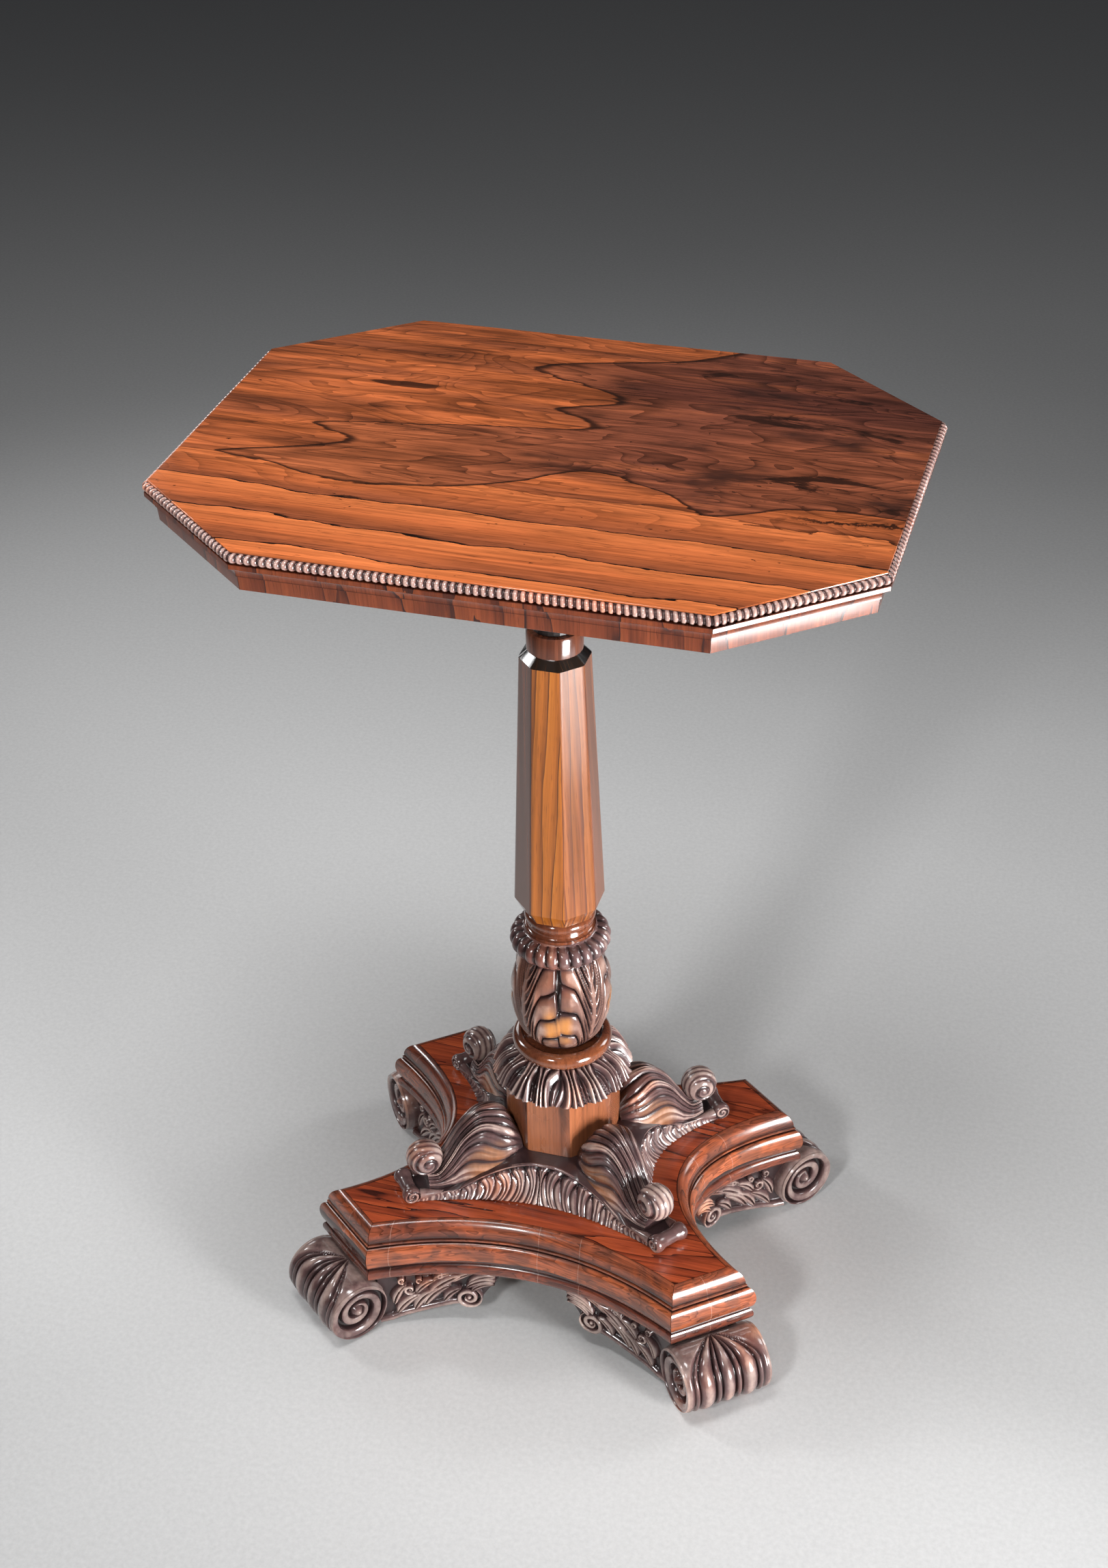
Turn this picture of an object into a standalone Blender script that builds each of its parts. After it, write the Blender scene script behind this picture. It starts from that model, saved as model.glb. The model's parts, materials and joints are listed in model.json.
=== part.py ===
"""Wine table: octagonal top, carved pillar, concave platform and four scroll feet."""
import math

import bmesh
import bpy

# Gap kept between neighbouring pieces
CLEARANCE = 0.0003

# Top board, its veneer and the mouldings round its edge
TOP_LENGTH = 0.495
TOP_DEPTH = 0.376
TOP_CUT_X = 0.093
TOP_CUT_Y = 0.078
TOP_THICKNESS = 0.030
VENEER = 0.0012
BEAD_WIDTH = 0.0066
BEAD_HEIGHT = 0.0080
EDGE_WIDTH = 0.022
EDGE_SETBACK = 0.0012
EDGE_FILLET = 0.0036
EDGE_COVE_DEPTH = 0.0056
EDGE_COVE_HEIGHT = 0.0066
EDGE_QUIRK = 0.0010
EDGE_TAPER = 0.0008

# Block under the top, its screws and the dark spindle below it
BLOCK_LENGTH = 0.128
BLOCK_DEPTH = 0.104
BLOCK_HEIGHT = 0.022
BLOCK_CHAMFER = 0.006
BLOCK_SCREW_X = 0.046
BLOCK_SCREW_Y = 0.036
SCREW_SHANK = 0.0021
SCREW_HEAD = 0.0044
SCREW_HEAD_HEIGHT = 0.0030
SCREW_BITE = 0.014
SCREW_SLOT = 0.0009
SPINDLE_HEIGHT = 0.0821
SPINDLE_WAIST = 0.0130
SPINDLE_FOOT = 0.0160
SPINDLE_FLARE = 0.0370
SPINDLE_FILLET = 0.0060
SPINDLE_TENON = 0.0120
SPINDLE_SOCKET_DEPTH = 0.060
TENON_END = 0.0010

# Octagonal shaft with its round neck and lower tenon
SHAFT_HEIGHT = 0.2270
SHAFT_TOP_RADIUS = 0.0262
SHAFT_BOTTOM_RADIUS = 0.0345
SHAFT_CHAMFER_RADIUS = 0.0285
SHAFT_CHAMFER_HEIGHT = 0.0115
SHOULDER_HEIGHT = 0.0060
NECK_RADIUS = 0.0204
NECK_HEIGHT = 0.0170
SHAFT_TENON = 0.0140
SHAFT_TENON_LENGTH = 0.056

# Turned and carved pieces of the pillar
RING_HEIGHT = 0.0171
RING_RADIUS = 0.0272
RING_NECK_RADIUS = 0.0246
COLLAR_HEIGHT = 0.0200
COLLAR_RADIUS = 0.0383
COLLAR_TOP_RADIUS = 0.0275
COLLAR_BOTTOM_RADIUS = 0.0325
GADROONS = 28
GADROON_DEPTH = 0.0026
BULB_HEIGHT = 0.0817
BULB_RADIUS = 0.0395
BULB_TOP_RADIUS = 0.0300
BULB_BOTTOM_RADIUS = 0.0275
BULB_LEAVES = 4
BULB_TURN = math.radians(-33)
BULB_RELIEF = 0.0022
BULB_TENON = 0.0160
DISC_HEIGHT = 0.0137
DISC_RADIUS = 0.0393
SKIRT_HEIGHT = 0.0190
SKIRT_TOP_RADIUS = 0.0340
SKIRT_RADIUS = 0.0557
SKIRT_DROOP = 0.0050
SKIRT_LEAVES = 16
SKIRT_RELIEF = 0.0018
PLINTH_HEIGHT = 0.0627
PLINTH_RADIUS = 0.0460

# Leaf carved tier on the platform, with its arms running to small rolls
TIER_HEIGHT = 0.0334
TIER_FRONT = 0.0690
TIER_SIDE = 0.0765
TIER_TIP_REACH = 0.1310
TIER_FALL_REACH = 0.1000
TIER_TIP_HALF_WIDTH = 0.0130
TIER_TIP_HEIGHT = 0.0075
TIER_FLAT_RADIUS = 0.0580
TIER_RAKE = 0.38
TIER_LEAVES = 9
TIER_RELIEF = 0.0010
TIP_ROLL_RADIUS = 0.0070
TIP_ROLL_HALF_LENGTH = 0.0135
TIP_ROLL_OUT = 0.0030

# Acanthus brackets between the plinth and the tier's arms
BRACKET_TOP = 0.0325
BRACKET_RIM_DROP = 0.0170
BRACKET_NECK = 0.0150
BRACKET_HALF_WIDTH = 0.0200
BRACKET_END_HALF_WIDTH = 0.0085
BRACKET_FLUTES = 4
BRACKET_SEAT = 0.0020
BRACKET_STEPS = 9
BRACKET_RELIEF = 0.0011
BALL_RADIUS = 0.0145
BALL_HALF_WIDTH = 0.0130
BALL_REACH = 0.1185
BALL_LIFT = 0.0332
BALL_STEPS = 7

# Platform: a rectangle with four hollow sides and cut arm ends
ARM_END_X = 0.1730
ARM_SIDE_Y = 0.0915
ARM_SIDE_X = 0.1235
ARM_END_Y = 0.1320
BAY_FRONT = 0.0990
BAY_SIDE = 0.1065
PLATFORM_THICKNESS = 0.0500
MOULDING_DEPTH = 0.0160
THUMB_WIDTH = 0.0100
THUMB_HEIGHT = 0.0165
QUIRK_DEPTH = 0.0020
QUIRK_HEIGHT = 0.0014
OVOLO_HEIGHT = 0.0188
OVOLO_PROUD = 0.0045
LOWER_BEAD_PROUD = 0.0036
BAY_STEPS = 8
MITRE_PULL = 0.0005

# Scroll feet, their dowels and the carved wings behind them
FOOT_HEIGHT = 0.0542
FOOT_ROLL_OUT = 0.0135
FOOT_ROLL_HALF_LENGTH = 0.0325
FOOT_SOLE_CUT = 0.0012
FOOT_LOBES = 5
FOOT_FACETS = 16
FOOT_LOBE_DEPTH = 0.0022
FOOT_EYE_RADIUS = 0.0120
FOOT_EYE_PROUD = 0.0022
FOOT_BLOCK_HALF_WIDTH = 0.0165
FOOT_BLOCK_REACH = 0.0440
FOOT_BLOCK_TOE = 0.0060
FOOT_LEAN_START = 0.0160
FOOT_DOWEL_RADIUS = 0.0080
FOOT_DOWEL_LENGTH = 0.0240
FOOT_DOWEL_IN = 0.0270
WING_OUTER = 0.0015
WING_THICKNESS = 0.0100
WING_START = 0.0230
WING_LENGTH = 0.0780
WING_LOW = 0.0070
WING_SCROLL = 0.0140
WING_TIP = 0.0420
WING_STEPS = 11

# Wedge driven up into the sawn end of the pillar's long tenon
WEDGE_THICKNESS = 0.0030
WEDGE_HEIGHT = 0.0200
WEDGE_HALF_LENGTH = 0.0140

# Reach of a cutter past the piece it cuts
CUTTER_MARGIN = 0.0100

# Facets of the round pieces
FACETS = 24
SHAFT_FACETS = 32
HOLE_FACETS = 12
SHARP_ANGLE = math.radians(34)

# Heights of the stacked pieces, from the floor up
PLATFORM_BOTTOM = FOOT_HEIGHT + CLEARANCE
PLATFORM_BOARD_TOP = PLATFORM_BOTTOM + PLATFORM_THICKNESS
PLATFORM_TOP = PLATFORM_BOARD_TOP + CLEARANCE + VENEER
TIER_BOTTOM = PLATFORM_TOP + CLEARANCE
TIER_TOP = TIER_BOTTOM + TIER_HEIGHT
PLINTH_BOTTOM = TIER_TOP + CLEARANCE
PLINTH_TOP = PLINTH_BOTTOM + PLINTH_HEIGHT
SKIRT_BOTTOM = PLINTH_TOP + CLEARANCE
SKIRT_TOP = SKIRT_BOTTOM + SKIRT_HEIGHT
DISC_BOTTOM = SKIRT_TOP + CLEARANCE
DISC_TOP = DISC_BOTTOM + DISC_HEIGHT
BULB_BOTTOM = DISC_TOP + CLEARANCE
BULB_TOP = BULB_BOTTOM + BULB_HEIGHT
COLLAR_BOTTOM = BULB_TOP + CLEARANCE
COLLAR_TOP = COLLAR_BOTTOM + COLLAR_HEIGHT
RING_BOTTOM = COLLAR_TOP + CLEARANCE
RING_TOP = RING_BOTTOM + RING_HEIGHT
SHAFT_BOTTOM = RING_TOP + CLEARANCE
SHOULDER_TOP = SHAFT_BOTTOM + SHAFT_HEIGHT
NECK_TOP = SHOULDER_TOP + NECK_HEIGHT
SPINDLE_BOTTOM = NECK_TOP + CLEARANCE
SPINDLE_TOP = SPINDLE_BOTTOM + SPINDLE_HEIGHT
BLOCK_BOTTOM = SPINDLE_TOP + CLEARANCE
BLOCK_TOP = BLOCK_BOTTOM + BLOCK_HEIGHT
TOP_BOTTOM = BLOCK_TOP + CLEARANCE
TOP_SURFACE = TOP_BOTTOM + TOP_THICKNESS

# Directions of the arms: outward across an arm's end, and along it
ARM_EDGE_X = ARM_END_X - ARM_SIDE_X
ARM_EDGE_Y = ARM_END_Y - ARM_SIDE_Y
ARM_EDGE = math.hypot(ARM_EDGE_X, ARM_EDGE_Y)
ARM_OUT = (ARM_EDGE_Y / ARM_EDGE, ARM_EDGE_X / ARM_EDGE)
ARM_MIDDLE = ((ARM_END_X + ARM_SIDE_X) / 2, (ARM_END_Y + ARM_SIDE_Y) / 2)
ARM_ANGLE = math.atan2(ARM_MIDDLE[1], ARM_MIDDLE[0])
QUARTERS = {"front_right": (1, -1), "back_right": (1, 1), "back_left": (-1, 1), "front_left": (-1, -1)}


def new_material(name, colour, roughness, metallic=0.0):
    """Principled material of one slot."""
    material = bpy.data.materials.new(name)
    material.use_nodes = True
    shader = material.node_tree.nodes["Principled BSDF"]
    shader.inputs["Base Color"].default_value = (*colour, 1.0)
    shader.inputs["Roughness"].default_value = roughness
    shader.inputs["Metallic"].default_value = metallic
    material.diffuse_color = (*colour, 1.0)
    return material


def ring_solid(name, rings, material, capped):
    """Closed solid skinned over rings of equal length, capped at both ends or looped back on itself."""
    mesh = bpy.data.meshes.new(name)
    work = bmesh.new()
    layers = [[work.verts.new(point) for point in ring] for ring in rings]
    pairs = list(zip(layers, layers[1:]))
    if capped:
        work.faces.new(list(reversed(layers[0])))
        work.faces.new(layers[-1])
    else:
        pairs.append((layers[-1], layers[0]))
    for lower, upper in pairs:
        count = len(lower)
        for index in range(count):
            after = (index + 1) % count
            work.faces.new((lower[index], lower[after], upper[after]))
            work.faces.new((lower[index], upper[after], upper[index]))
    bmesh.ops.recalc_face_normals(work, faces=work.faces)
    work.to_mesh(mesh)
    work.free()
    return add_object(name, mesh, material)


def add_object(name, mesh, material):
    """Link a mesh as a named object, smooth except over sharp edges."""
    mesh.materials.append(material)
    mesh.shade_smooth()
    mesh.set_sharp_from_angle(angle=SHARP_ANGLE)
    piece = bpy.data.objects.new(name, mesh)
    bpy.context.scene.collection.objects.link(piece)
    return piece


def combine(piece, other, operation):
    """Boolean of two solids kept in the first, with the second one removed."""
    modifier = piece.modifiers.new("join", "BOOLEAN")
    modifier.operation = operation
    modifier.solver = "EXACT"
    modifier.object = other
    graph = bpy.context.evaluated_depsgraph_get()
    mesh = bpy.data.meshes.new_from_object(piece.evaluated_get(graph))
    piece.modifiers.clear()
    old = piece.data
    piece.data = mesh
    bpy.data.meshes.remove(old)
    bpy.data.objects.remove(other, do_unlink=True)
    mesh.shade_smooth()
    mesh.set_sharp_from_angle(angle=SHARP_ANGLE)


def circle(radius, z, count=FACETS, centre=(0.0, 0.0)):
    """Ring of points round a vertical axis."""
    turn = 2 * math.pi / count
    return [(centre[0] + radius * math.cos(turn * i), centre[1] + radius * math.sin(turn * i), z)
            for i in range(count)]


def octagon_ring(radius, z, count=SHAFT_FACETS):
    """Ring of points on a regular octagon whose flats face the sides of the top."""
    flat = radius * math.cos(math.pi / 8)
    points = []
    for i in range(count):
        angle = 2 * math.pi * i / count
        from_flat = (angle + math.pi / 8) % (math.pi / 4) - math.pi / 8
        reach = flat / math.cos(from_flat)
        points.append((reach * math.cos(angle), reach * math.sin(angle), z))
    return points


def drum(name, radius, low, high, material, count=FACETS, centre=(0.0, 0.0)):
    """Plain upright cylinder."""
    rings = [circle(radius, low, count, centre), circle(radius, high, count, centre)]
    return ring_solid(name, rings, material, True)


def prism(name, outline, low, high, material):
    """Upright prism over a flat outline."""
    rings = [[(x, y, z) for x, y in outline] for z in (low, high)]
    return ring_solid(name, rings, material, True)


def bar(name, size, centre, material):
    """Rectangular bar given by its three sizes and its centre."""
    half_x = size[0] / 2
    half_y = size[1] / 2
    outline = [(centre[0] + sx * half_x, centre[1] + sy * half_y) for sx, sy in
               ((-1, -1), (1, -1), (1, 1), (-1, 1))]
    return prism(name, outline, centre[2] - size[2] / 2, centre[2] + size[2] / 2, material)


def arc(centre, radius_x, radius_z, start, end, steps):
    """Points on an elliptical arc, angles in degrees."""
    points = []
    for i in range(steps + 1):
        angle = math.radians(start + (end - start) * i / steps)
        points.append((centre[0] + radius_x * math.cos(angle), centre[1] + radius_z * math.sin(angle)))
    return points


def smooth_curve(points, steps):
    """Rounded line through a few points, with a set number of steps between each two."""
    line = []
    last = len(points) - 1
    for i in range(last):
        before = points[max(i - 1, 0)]
        here = points[i]
        after = points[i + 1]
        beyond = points[min(i + 2, last)]
        for step in range(steps):
            t = step / steps
            line.append(tuple(
                0.5 * (2 * b + (c - a) * t + (2 * a - 5 * b + 4 * c - d) * t * t
                       + (3 * b - a - 3 * c + d) * t ** 3)
                for a, b, c, d in zip(before, here, after, beyond)))
    line.append(points[-1])
    return line


def blend(points, position):
    """Straight-line reading of a rising list of (position, value) pairs."""
    for (x0, y0), (x1, y1) in zip(points, points[1:]):
        if position <= x1:
            t = max(0.0, (position - x0) / (x1 - x0))
            return y0 + (y1 - y0) * t
    return points[-1][1]


def offset_outline(points, distance):
    """Convex outline moved inward by a distance, corner by corner."""
    count = len(points)
    lines = []
    for i in range(count):
        x0, y0 = points[i]
        x1, y1 = points[(i + 1) % count]
        length = math.hypot(x1 - x0, y1 - y0)
        normal = ((y1 - y0) / length, (x0 - x1) / length)
        lines.append((normal, normal[0] * x0 + normal[1] * y0 - distance))
    result = []
    for i in range(count):
        (a, b), first = lines[i - 1]
        (c, d), second = lines[i]
        scale = a * d - b * c
        result.append(((first * d - b * second) / scale, (a * second - first * c) / scale))
    return result


def top_outline(inset):
    """Octagonal outline of the top, counter-clockwise from the front edge's left corner."""
    x = TOP_LENGTH / 2
    y = TOP_DEPTH / 2
    corners = [(-x + TOP_CUT_X, -y), (x - TOP_CUT_X, -y), (x, -y + TOP_CUT_Y), (x, y - TOP_CUT_Y),
               (x - TOP_CUT_X, y), (-x + TOP_CUT_X, y), (-x, y - TOP_CUT_Y), (-x, -y + TOP_CUT_Y)]
    return offset_outline(corners, inset)


EDGE_NAMES = ("front", "front_right", "right", "back_right", "back", "back_left", "left", "front_left")


def edge_strip(name, side, profile, material):
    """Mitred strip along one side of the top; the profile is (inset, height) pairs."""
    start = []
    end = []
    pull = CLEARANCE * 0.55
    for inset, z in profile:
        outline = top_outline(inset)
        x0, y0 = outline[side]
        x1, y1 = outline[(side + 1) % 8]
        length = math.hypot(x1 - x0, y1 - y0)
        ux = (x1 - x0) / length
        uy = (y1 - y0) / length
        start.append((x0 + ux * pull, y0 + uy * pull, z))
        end.append((x1 - ux * pull, y1 - uy * pull, z))
    return ring_solid(name, [start, end], material, True)


def wood_screw(name, x, y, head_top, length, material):
    """Countersunk slotted screw pointing up, with its head at the bottom."""
    shank_top = head_top + length
    point = SCREW_SHANK * 2
    rings = [circle(SCREW_HEAD, head_top, HOLE_FACETS, (x, y)),
             circle(SCREW_SHANK, head_top + SCREW_HEAD_HEIGHT, HOLE_FACETS, (x, y)),
             circle(SCREW_SHANK, shank_top - point, HOLE_FACETS, (x, y)),
             circle(SCREW_SHANK / 4, shank_top, HOLE_FACETS, (x, y))]
    screw = ring_solid(name, rings, material, True)
    slot_size = (SCREW_HEAD * 3, SCREW_SLOT, SCREW_HEAD_HEIGHT * 0.8)
    combine(screw, bar("slot_cutter", slot_size, (x, y, head_top), material), "DIFFERENCE")
    return screw


def screw_hole(x, y, low, high, material):
    """Cutter for a screw's hole, with its countersink at the bottom."""
    rings = [circle(SCREW_HEAD + 2 * CLEARANCE, low - CLEARANCE, HOLE_FACETS, (x, y)),
             circle(SCREW_SHANK + CLEARANCE, low + SCREW_HEAD_HEIGHT + CLEARANCE, HOLE_FACETS, (x, y)),
             circle(SCREW_SHANK + CLEARANCE, high, HOLE_FACETS, (x, y))]
    return ring_solid("hole_cutter", rings, material, True)


def bay_point(side, position, offset):
    """Point beside the front or right hollow edge of the platform, moved outward by an offset."""
    if side == "front":
        rise = (ARM_END_Y - BAY_FRONT) / ARM_SIDE_X ** 2
        slope = 2 * rise * position
        length = math.hypot(slope, 1)
        depth = BAY_FRONT + rise * position ** 2
        return (position - offset * slope / length, -depth - offset / length)
    rise = (ARM_END_X - BAY_SIDE) / ARM_SIDE_Y ** 2
    slope = 2 * rise * position
    length = math.hypot(slope, 1)
    depth = BAY_SIDE + rise * position ** 2
    return (depth + offset / length, position - offset * slope / length)


def bay_limit(side, offset, end_offset):
    """Position where an offset hollow edge meets the offset end of the next arm."""
    low = 0.0
    high = 1.6 * (ARM_SIDE_X if side == "front" else ARM_SIDE_Y)
    for _ in range(60):
        middle = (low + high) / 2
        x, y = bay_point(side, middle, offset)
        reach = (abs(x) - ARM_MIDDLE[0]) * ARM_OUT[0] + (abs(y) - ARM_MIDDLE[1]) * ARM_OUT[1]
        if reach < end_offset:
            low = middle
        else:
            high = middle
    return low


def bay_line(side, offset, pull=0.0, steps=BAY_STEPS):
    """Offset hollow edge from one arm to the next; back and left mirror front and right."""
    source = {"back": "front", "left": "right"}.get(side, side)
    limit = bay_limit(source, offset, offset - pull)
    points = [bay_point(source, limit * (2 * i / steps - 1), offset) for i in range(steps + 1)]
    if source != side:
        points = [(-x, -y) for x, y in points]
    return points


def platform_outline(offset):
    """Whole outline of the platform, counter-clockwise, moved outward by an offset."""
    outline = []
    for side in ("front", "right", "back", "left"):
        outline.extend(bay_line(side, offset))
    return outline


def platform_profile():
    """Moulded section round the platform: (outward, height) pairs, from the bottom inside corner."""
    quirk_low = PLATFORM_TOP - THUMB_HEIGHT - QUIRK_HEIGHT - OVOLO_HEIGHT
    bead_half = (quirk_low - PLATFORM_BOTTOM) / 2
    ovolo_half = OVOLO_HEIGHT / 2
    thumb_low = PLATFORM_TOP - THUMB_HEIGHT
    profile = [(-MOULDING_DEPTH, PLATFORM_BOTTOM)]
    profile += arc((0.0, PLATFORM_BOTTOM + bead_half), LOWER_BEAD_PROUD, bead_half, -90, 76, 5)
    profile += arc((0.0, quirk_low + ovolo_half), OVOLO_PROUD, ovolo_half, -76, 90, 6)
    profile += [(-QUIRK_DEPTH, thumb_low - QUIRK_HEIGHT), (-QUIRK_DEPTH, thumb_low)]
    profile += arc((-THUMB_WIDTH, thumb_low), THUMB_WIDTH, THUMB_HEIGHT, 10, 90, 6)
    profile += [(-THUMB_WIDTH, PLATFORM_BOARD_TOP), (-MOULDING_DEPTH, PLATFORM_BOARD_TOP)]
    return profile


def side_strip(name, side, profile, material):
    """Moulding along one hollow side, mitred at both arms."""
    lines = [bay_line(side, out, MITRE_PULL) for out, _ in profile]
    rings = [[(*line[i], z) for line, (_, z) in zip(lines, profile)] for i in range(BAY_STEPS + 1)]
    return ring_solid(name, rings, material, True)


def end_strip(name, quarter, profile, material):
    """Straight moulding across the end of one arm."""
    sx, sy = quarter
    start = []
    end = []
    for out, z in profile:
        x0, y0 = bay_line("front", out)[-1]
        x1, y1 = bay_line("right", out)[0]
        start.append((sx * x0, sy * -y0, z))
        end.append((sx * x1, sy * -y1, z))
    return ring_solid(name, [start, end], material, True)


def tier_height(radius):
    """Height of the tier's upper face, falling along the arms beyond the flat middle."""
    fall = max(0.0, radius - TIER_FLAT_RADIUS) / (TIER_FALL_REACH - TIER_FLAT_RADIUS)
    return TIER_TOP - min(1.0, fall) * (TIER_HEIGHT - TIER_TIP_HEIGHT)


def tier_outline():
    """Foot line of the tier: four hollow sides between narrow arm tips, counter-clockwise."""
    tip = (TIER_TIP_REACH * math.cos(ARM_ANGLE), TIER_TIP_REACH * math.sin(ARM_ANGLE))
    across = (TIER_TIP_HALF_WIDTH * math.sin(ARM_ANGLE), TIER_TIP_HALF_WIDTH * math.cos(ARM_ANGLE))
    front_end = (tip[0] - across[0], tip[1] + across[1])
    side_end = (tip[0] + across[0], tip[1] - across[1])
    steps = 2 * TIER_LEAVES
    front = []
    right = []
    for i in range(steps + 1):
        t = 2 * i / steps - 1
        front.append((front_end[0] * t, -TIER_FRONT - (front_end[1] - TIER_FRONT) * t * t))
        right.append((TIER_SIDE + (side_end[0] - TIER_SIDE) * t * t, side_end[1] * t))
    outline = front + right
    return outline + [(-x, -y) for x, y in outline]


def tier_fade(index):
    """Share of the rake and carving at a point of the tier's foot line: none at the arm tips."""
    steps = 2 * TIER_LEAVES
    t = 2 * (index % (steps + 1)) / steps - 1
    return 1 - t ** 4


def arm_ring(quarter, reach, points):
    """Cross-section at a distance along an arm: (across, height) pairs."""
    sx, sy = quarter
    dx = math.cos(ARM_ANGLE)
    dy = math.sin(ARM_ANGLE)
    return [(sx * (reach * dx - across * dy), sy * (reach * dy + across * dx), z) for across, z in points]


def roll(name, quarter, reach, height, radius, half_length, material):
    """Round bar lying across an arm."""
    rings = []
    for across in (-half_length, half_length):
        ring = []
        for i in range(HOLE_FACETS):
            angle = 2 * math.pi * i / HOLE_FACETS
            out = reach + radius * math.cos(angle)
            ring += arm_ring(quarter, out, [(across, height + radius * math.sin(angle))])
        rings.append(ring)
    return ring_solid(name, rings, material, True)


def build_top(wood, bead_wood, edge_wood, core, iron):
    """Board, veneer, beads, edge mouldings, block and screws."""
    veneer_bottom = TOP_SURFACE - VENEER
    bead_bottom = TOP_SURFACE - BEAD_HEIGHT
    edge_top = bead_bottom - CLEARANCE
    lip_inset = BEAD_WIDTH + CLEARANCE
    body_inset = EDGE_WIDTH + CLEARANCE
    rings = []
    for inset, z in ((body_inset, TOP_BOTTOM), (body_inset, bead_bottom), (lip_inset, bead_bottom),
                     (lip_inset, veneer_bottom - CLEARANCE)):
        rings.append([(x, y, z) for x, y in top_outline(inset)])
    board = ring_solid("top_board", rings, core, True)
    prism("top_veneer", top_outline(lip_inset), veneer_bottom, TOP_SURFACE, wood)
    half_bead = BEAD_HEIGHT / 2
    bead_profile = [(BEAD_WIDTH, bead_bottom), (BEAD_WIDTH, TOP_SURFACE)]
    bead_profile += arc((BEAD_WIDTH * 0.6, bead_bottom + half_bead), BEAD_WIDTH * 0.6, half_bead, 90, 270, 6)
    cove_in = EDGE_SETBACK + EDGE_COVE_DEPTH
    cove_top = edge_top - EDGE_FILLET
    cove_bottom = cove_top - EDGE_COVE_HEIGHT
    frieze_in = cove_in + EDGE_QUIRK
    edge_profile = [(EDGE_WIDTH, TOP_BOTTOM), (EDGE_WIDTH, edge_top), (EDGE_SETBACK, edge_top)]
    edge_profile += arc((EDGE_SETBACK, cove_bottom), EDGE_COVE_DEPTH, EDGE_COVE_HEIGHT, 90, 0, 5)
    edge_profile += [(cove_in, cove_bottom - EDGE_QUIRK), (frieze_in, cove_bottom - EDGE_QUIRK),
                     (frieze_in + EDGE_TAPER, TOP_BOTTOM)]
    for side, edge in enumerate(EDGE_NAMES):
        edge_strip("bead_moulding_" + edge, side, bead_profile, bead_wood)
        edge_strip("edge_moulding_" + edge, side, edge_profile, edge_wood)
    half_x = BLOCK_LENGTH / 2
    half_y = BLOCK_DEPTH / 2
    rings = []
    for inset, z in ((BLOCK_CHAMFER, BLOCK_BOTTOM), (0.0, BLOCK_BOTTOM + BLOCK_CHAMFER), (0.0, BLOCK_TOP)):
        rings.append([(sx * (half_x - inset), sy * (half_y - inset), z)
                      for sx, sy in ((-1, -1), (1, -1), (1, 1), (-1, 1))])
    block = ring_solid("pillar_block", rings, core, True)
    tenon_hole = drum("hole_cutter", SPINDLE_TENON + CLEARANCE, BLOCK_BOTTOM - CUTTER_MARGIN,
                      BLOCK_TOP + CUTTER_MARGIN, core)
    combine(block, tenon_hole, "DIFFERENCE")
    for corner, (sx, sy) in QUARTERS.items():
        x = sx * BLOCK_SCREW_X
        y = sy * BLOCK_SCREW_Y
        length = BLOCK_HEIGHT + SCREW_BITE
        hole_top = BLOCK_BOTTOM + length + CLEARANCE
        combine(block, screw_hole(x, y, BLOCK_BOTTOM, hole_top, core), "DIFFERENCE")
        combine(board, screw_hole(x, y, BLOCK_BOTTOM, hole_top, core), "DIFFERENCE")
        wood_screw("block_screw_" + corner, x, y, BLOCK_BOTTOM, length, iron)


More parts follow.
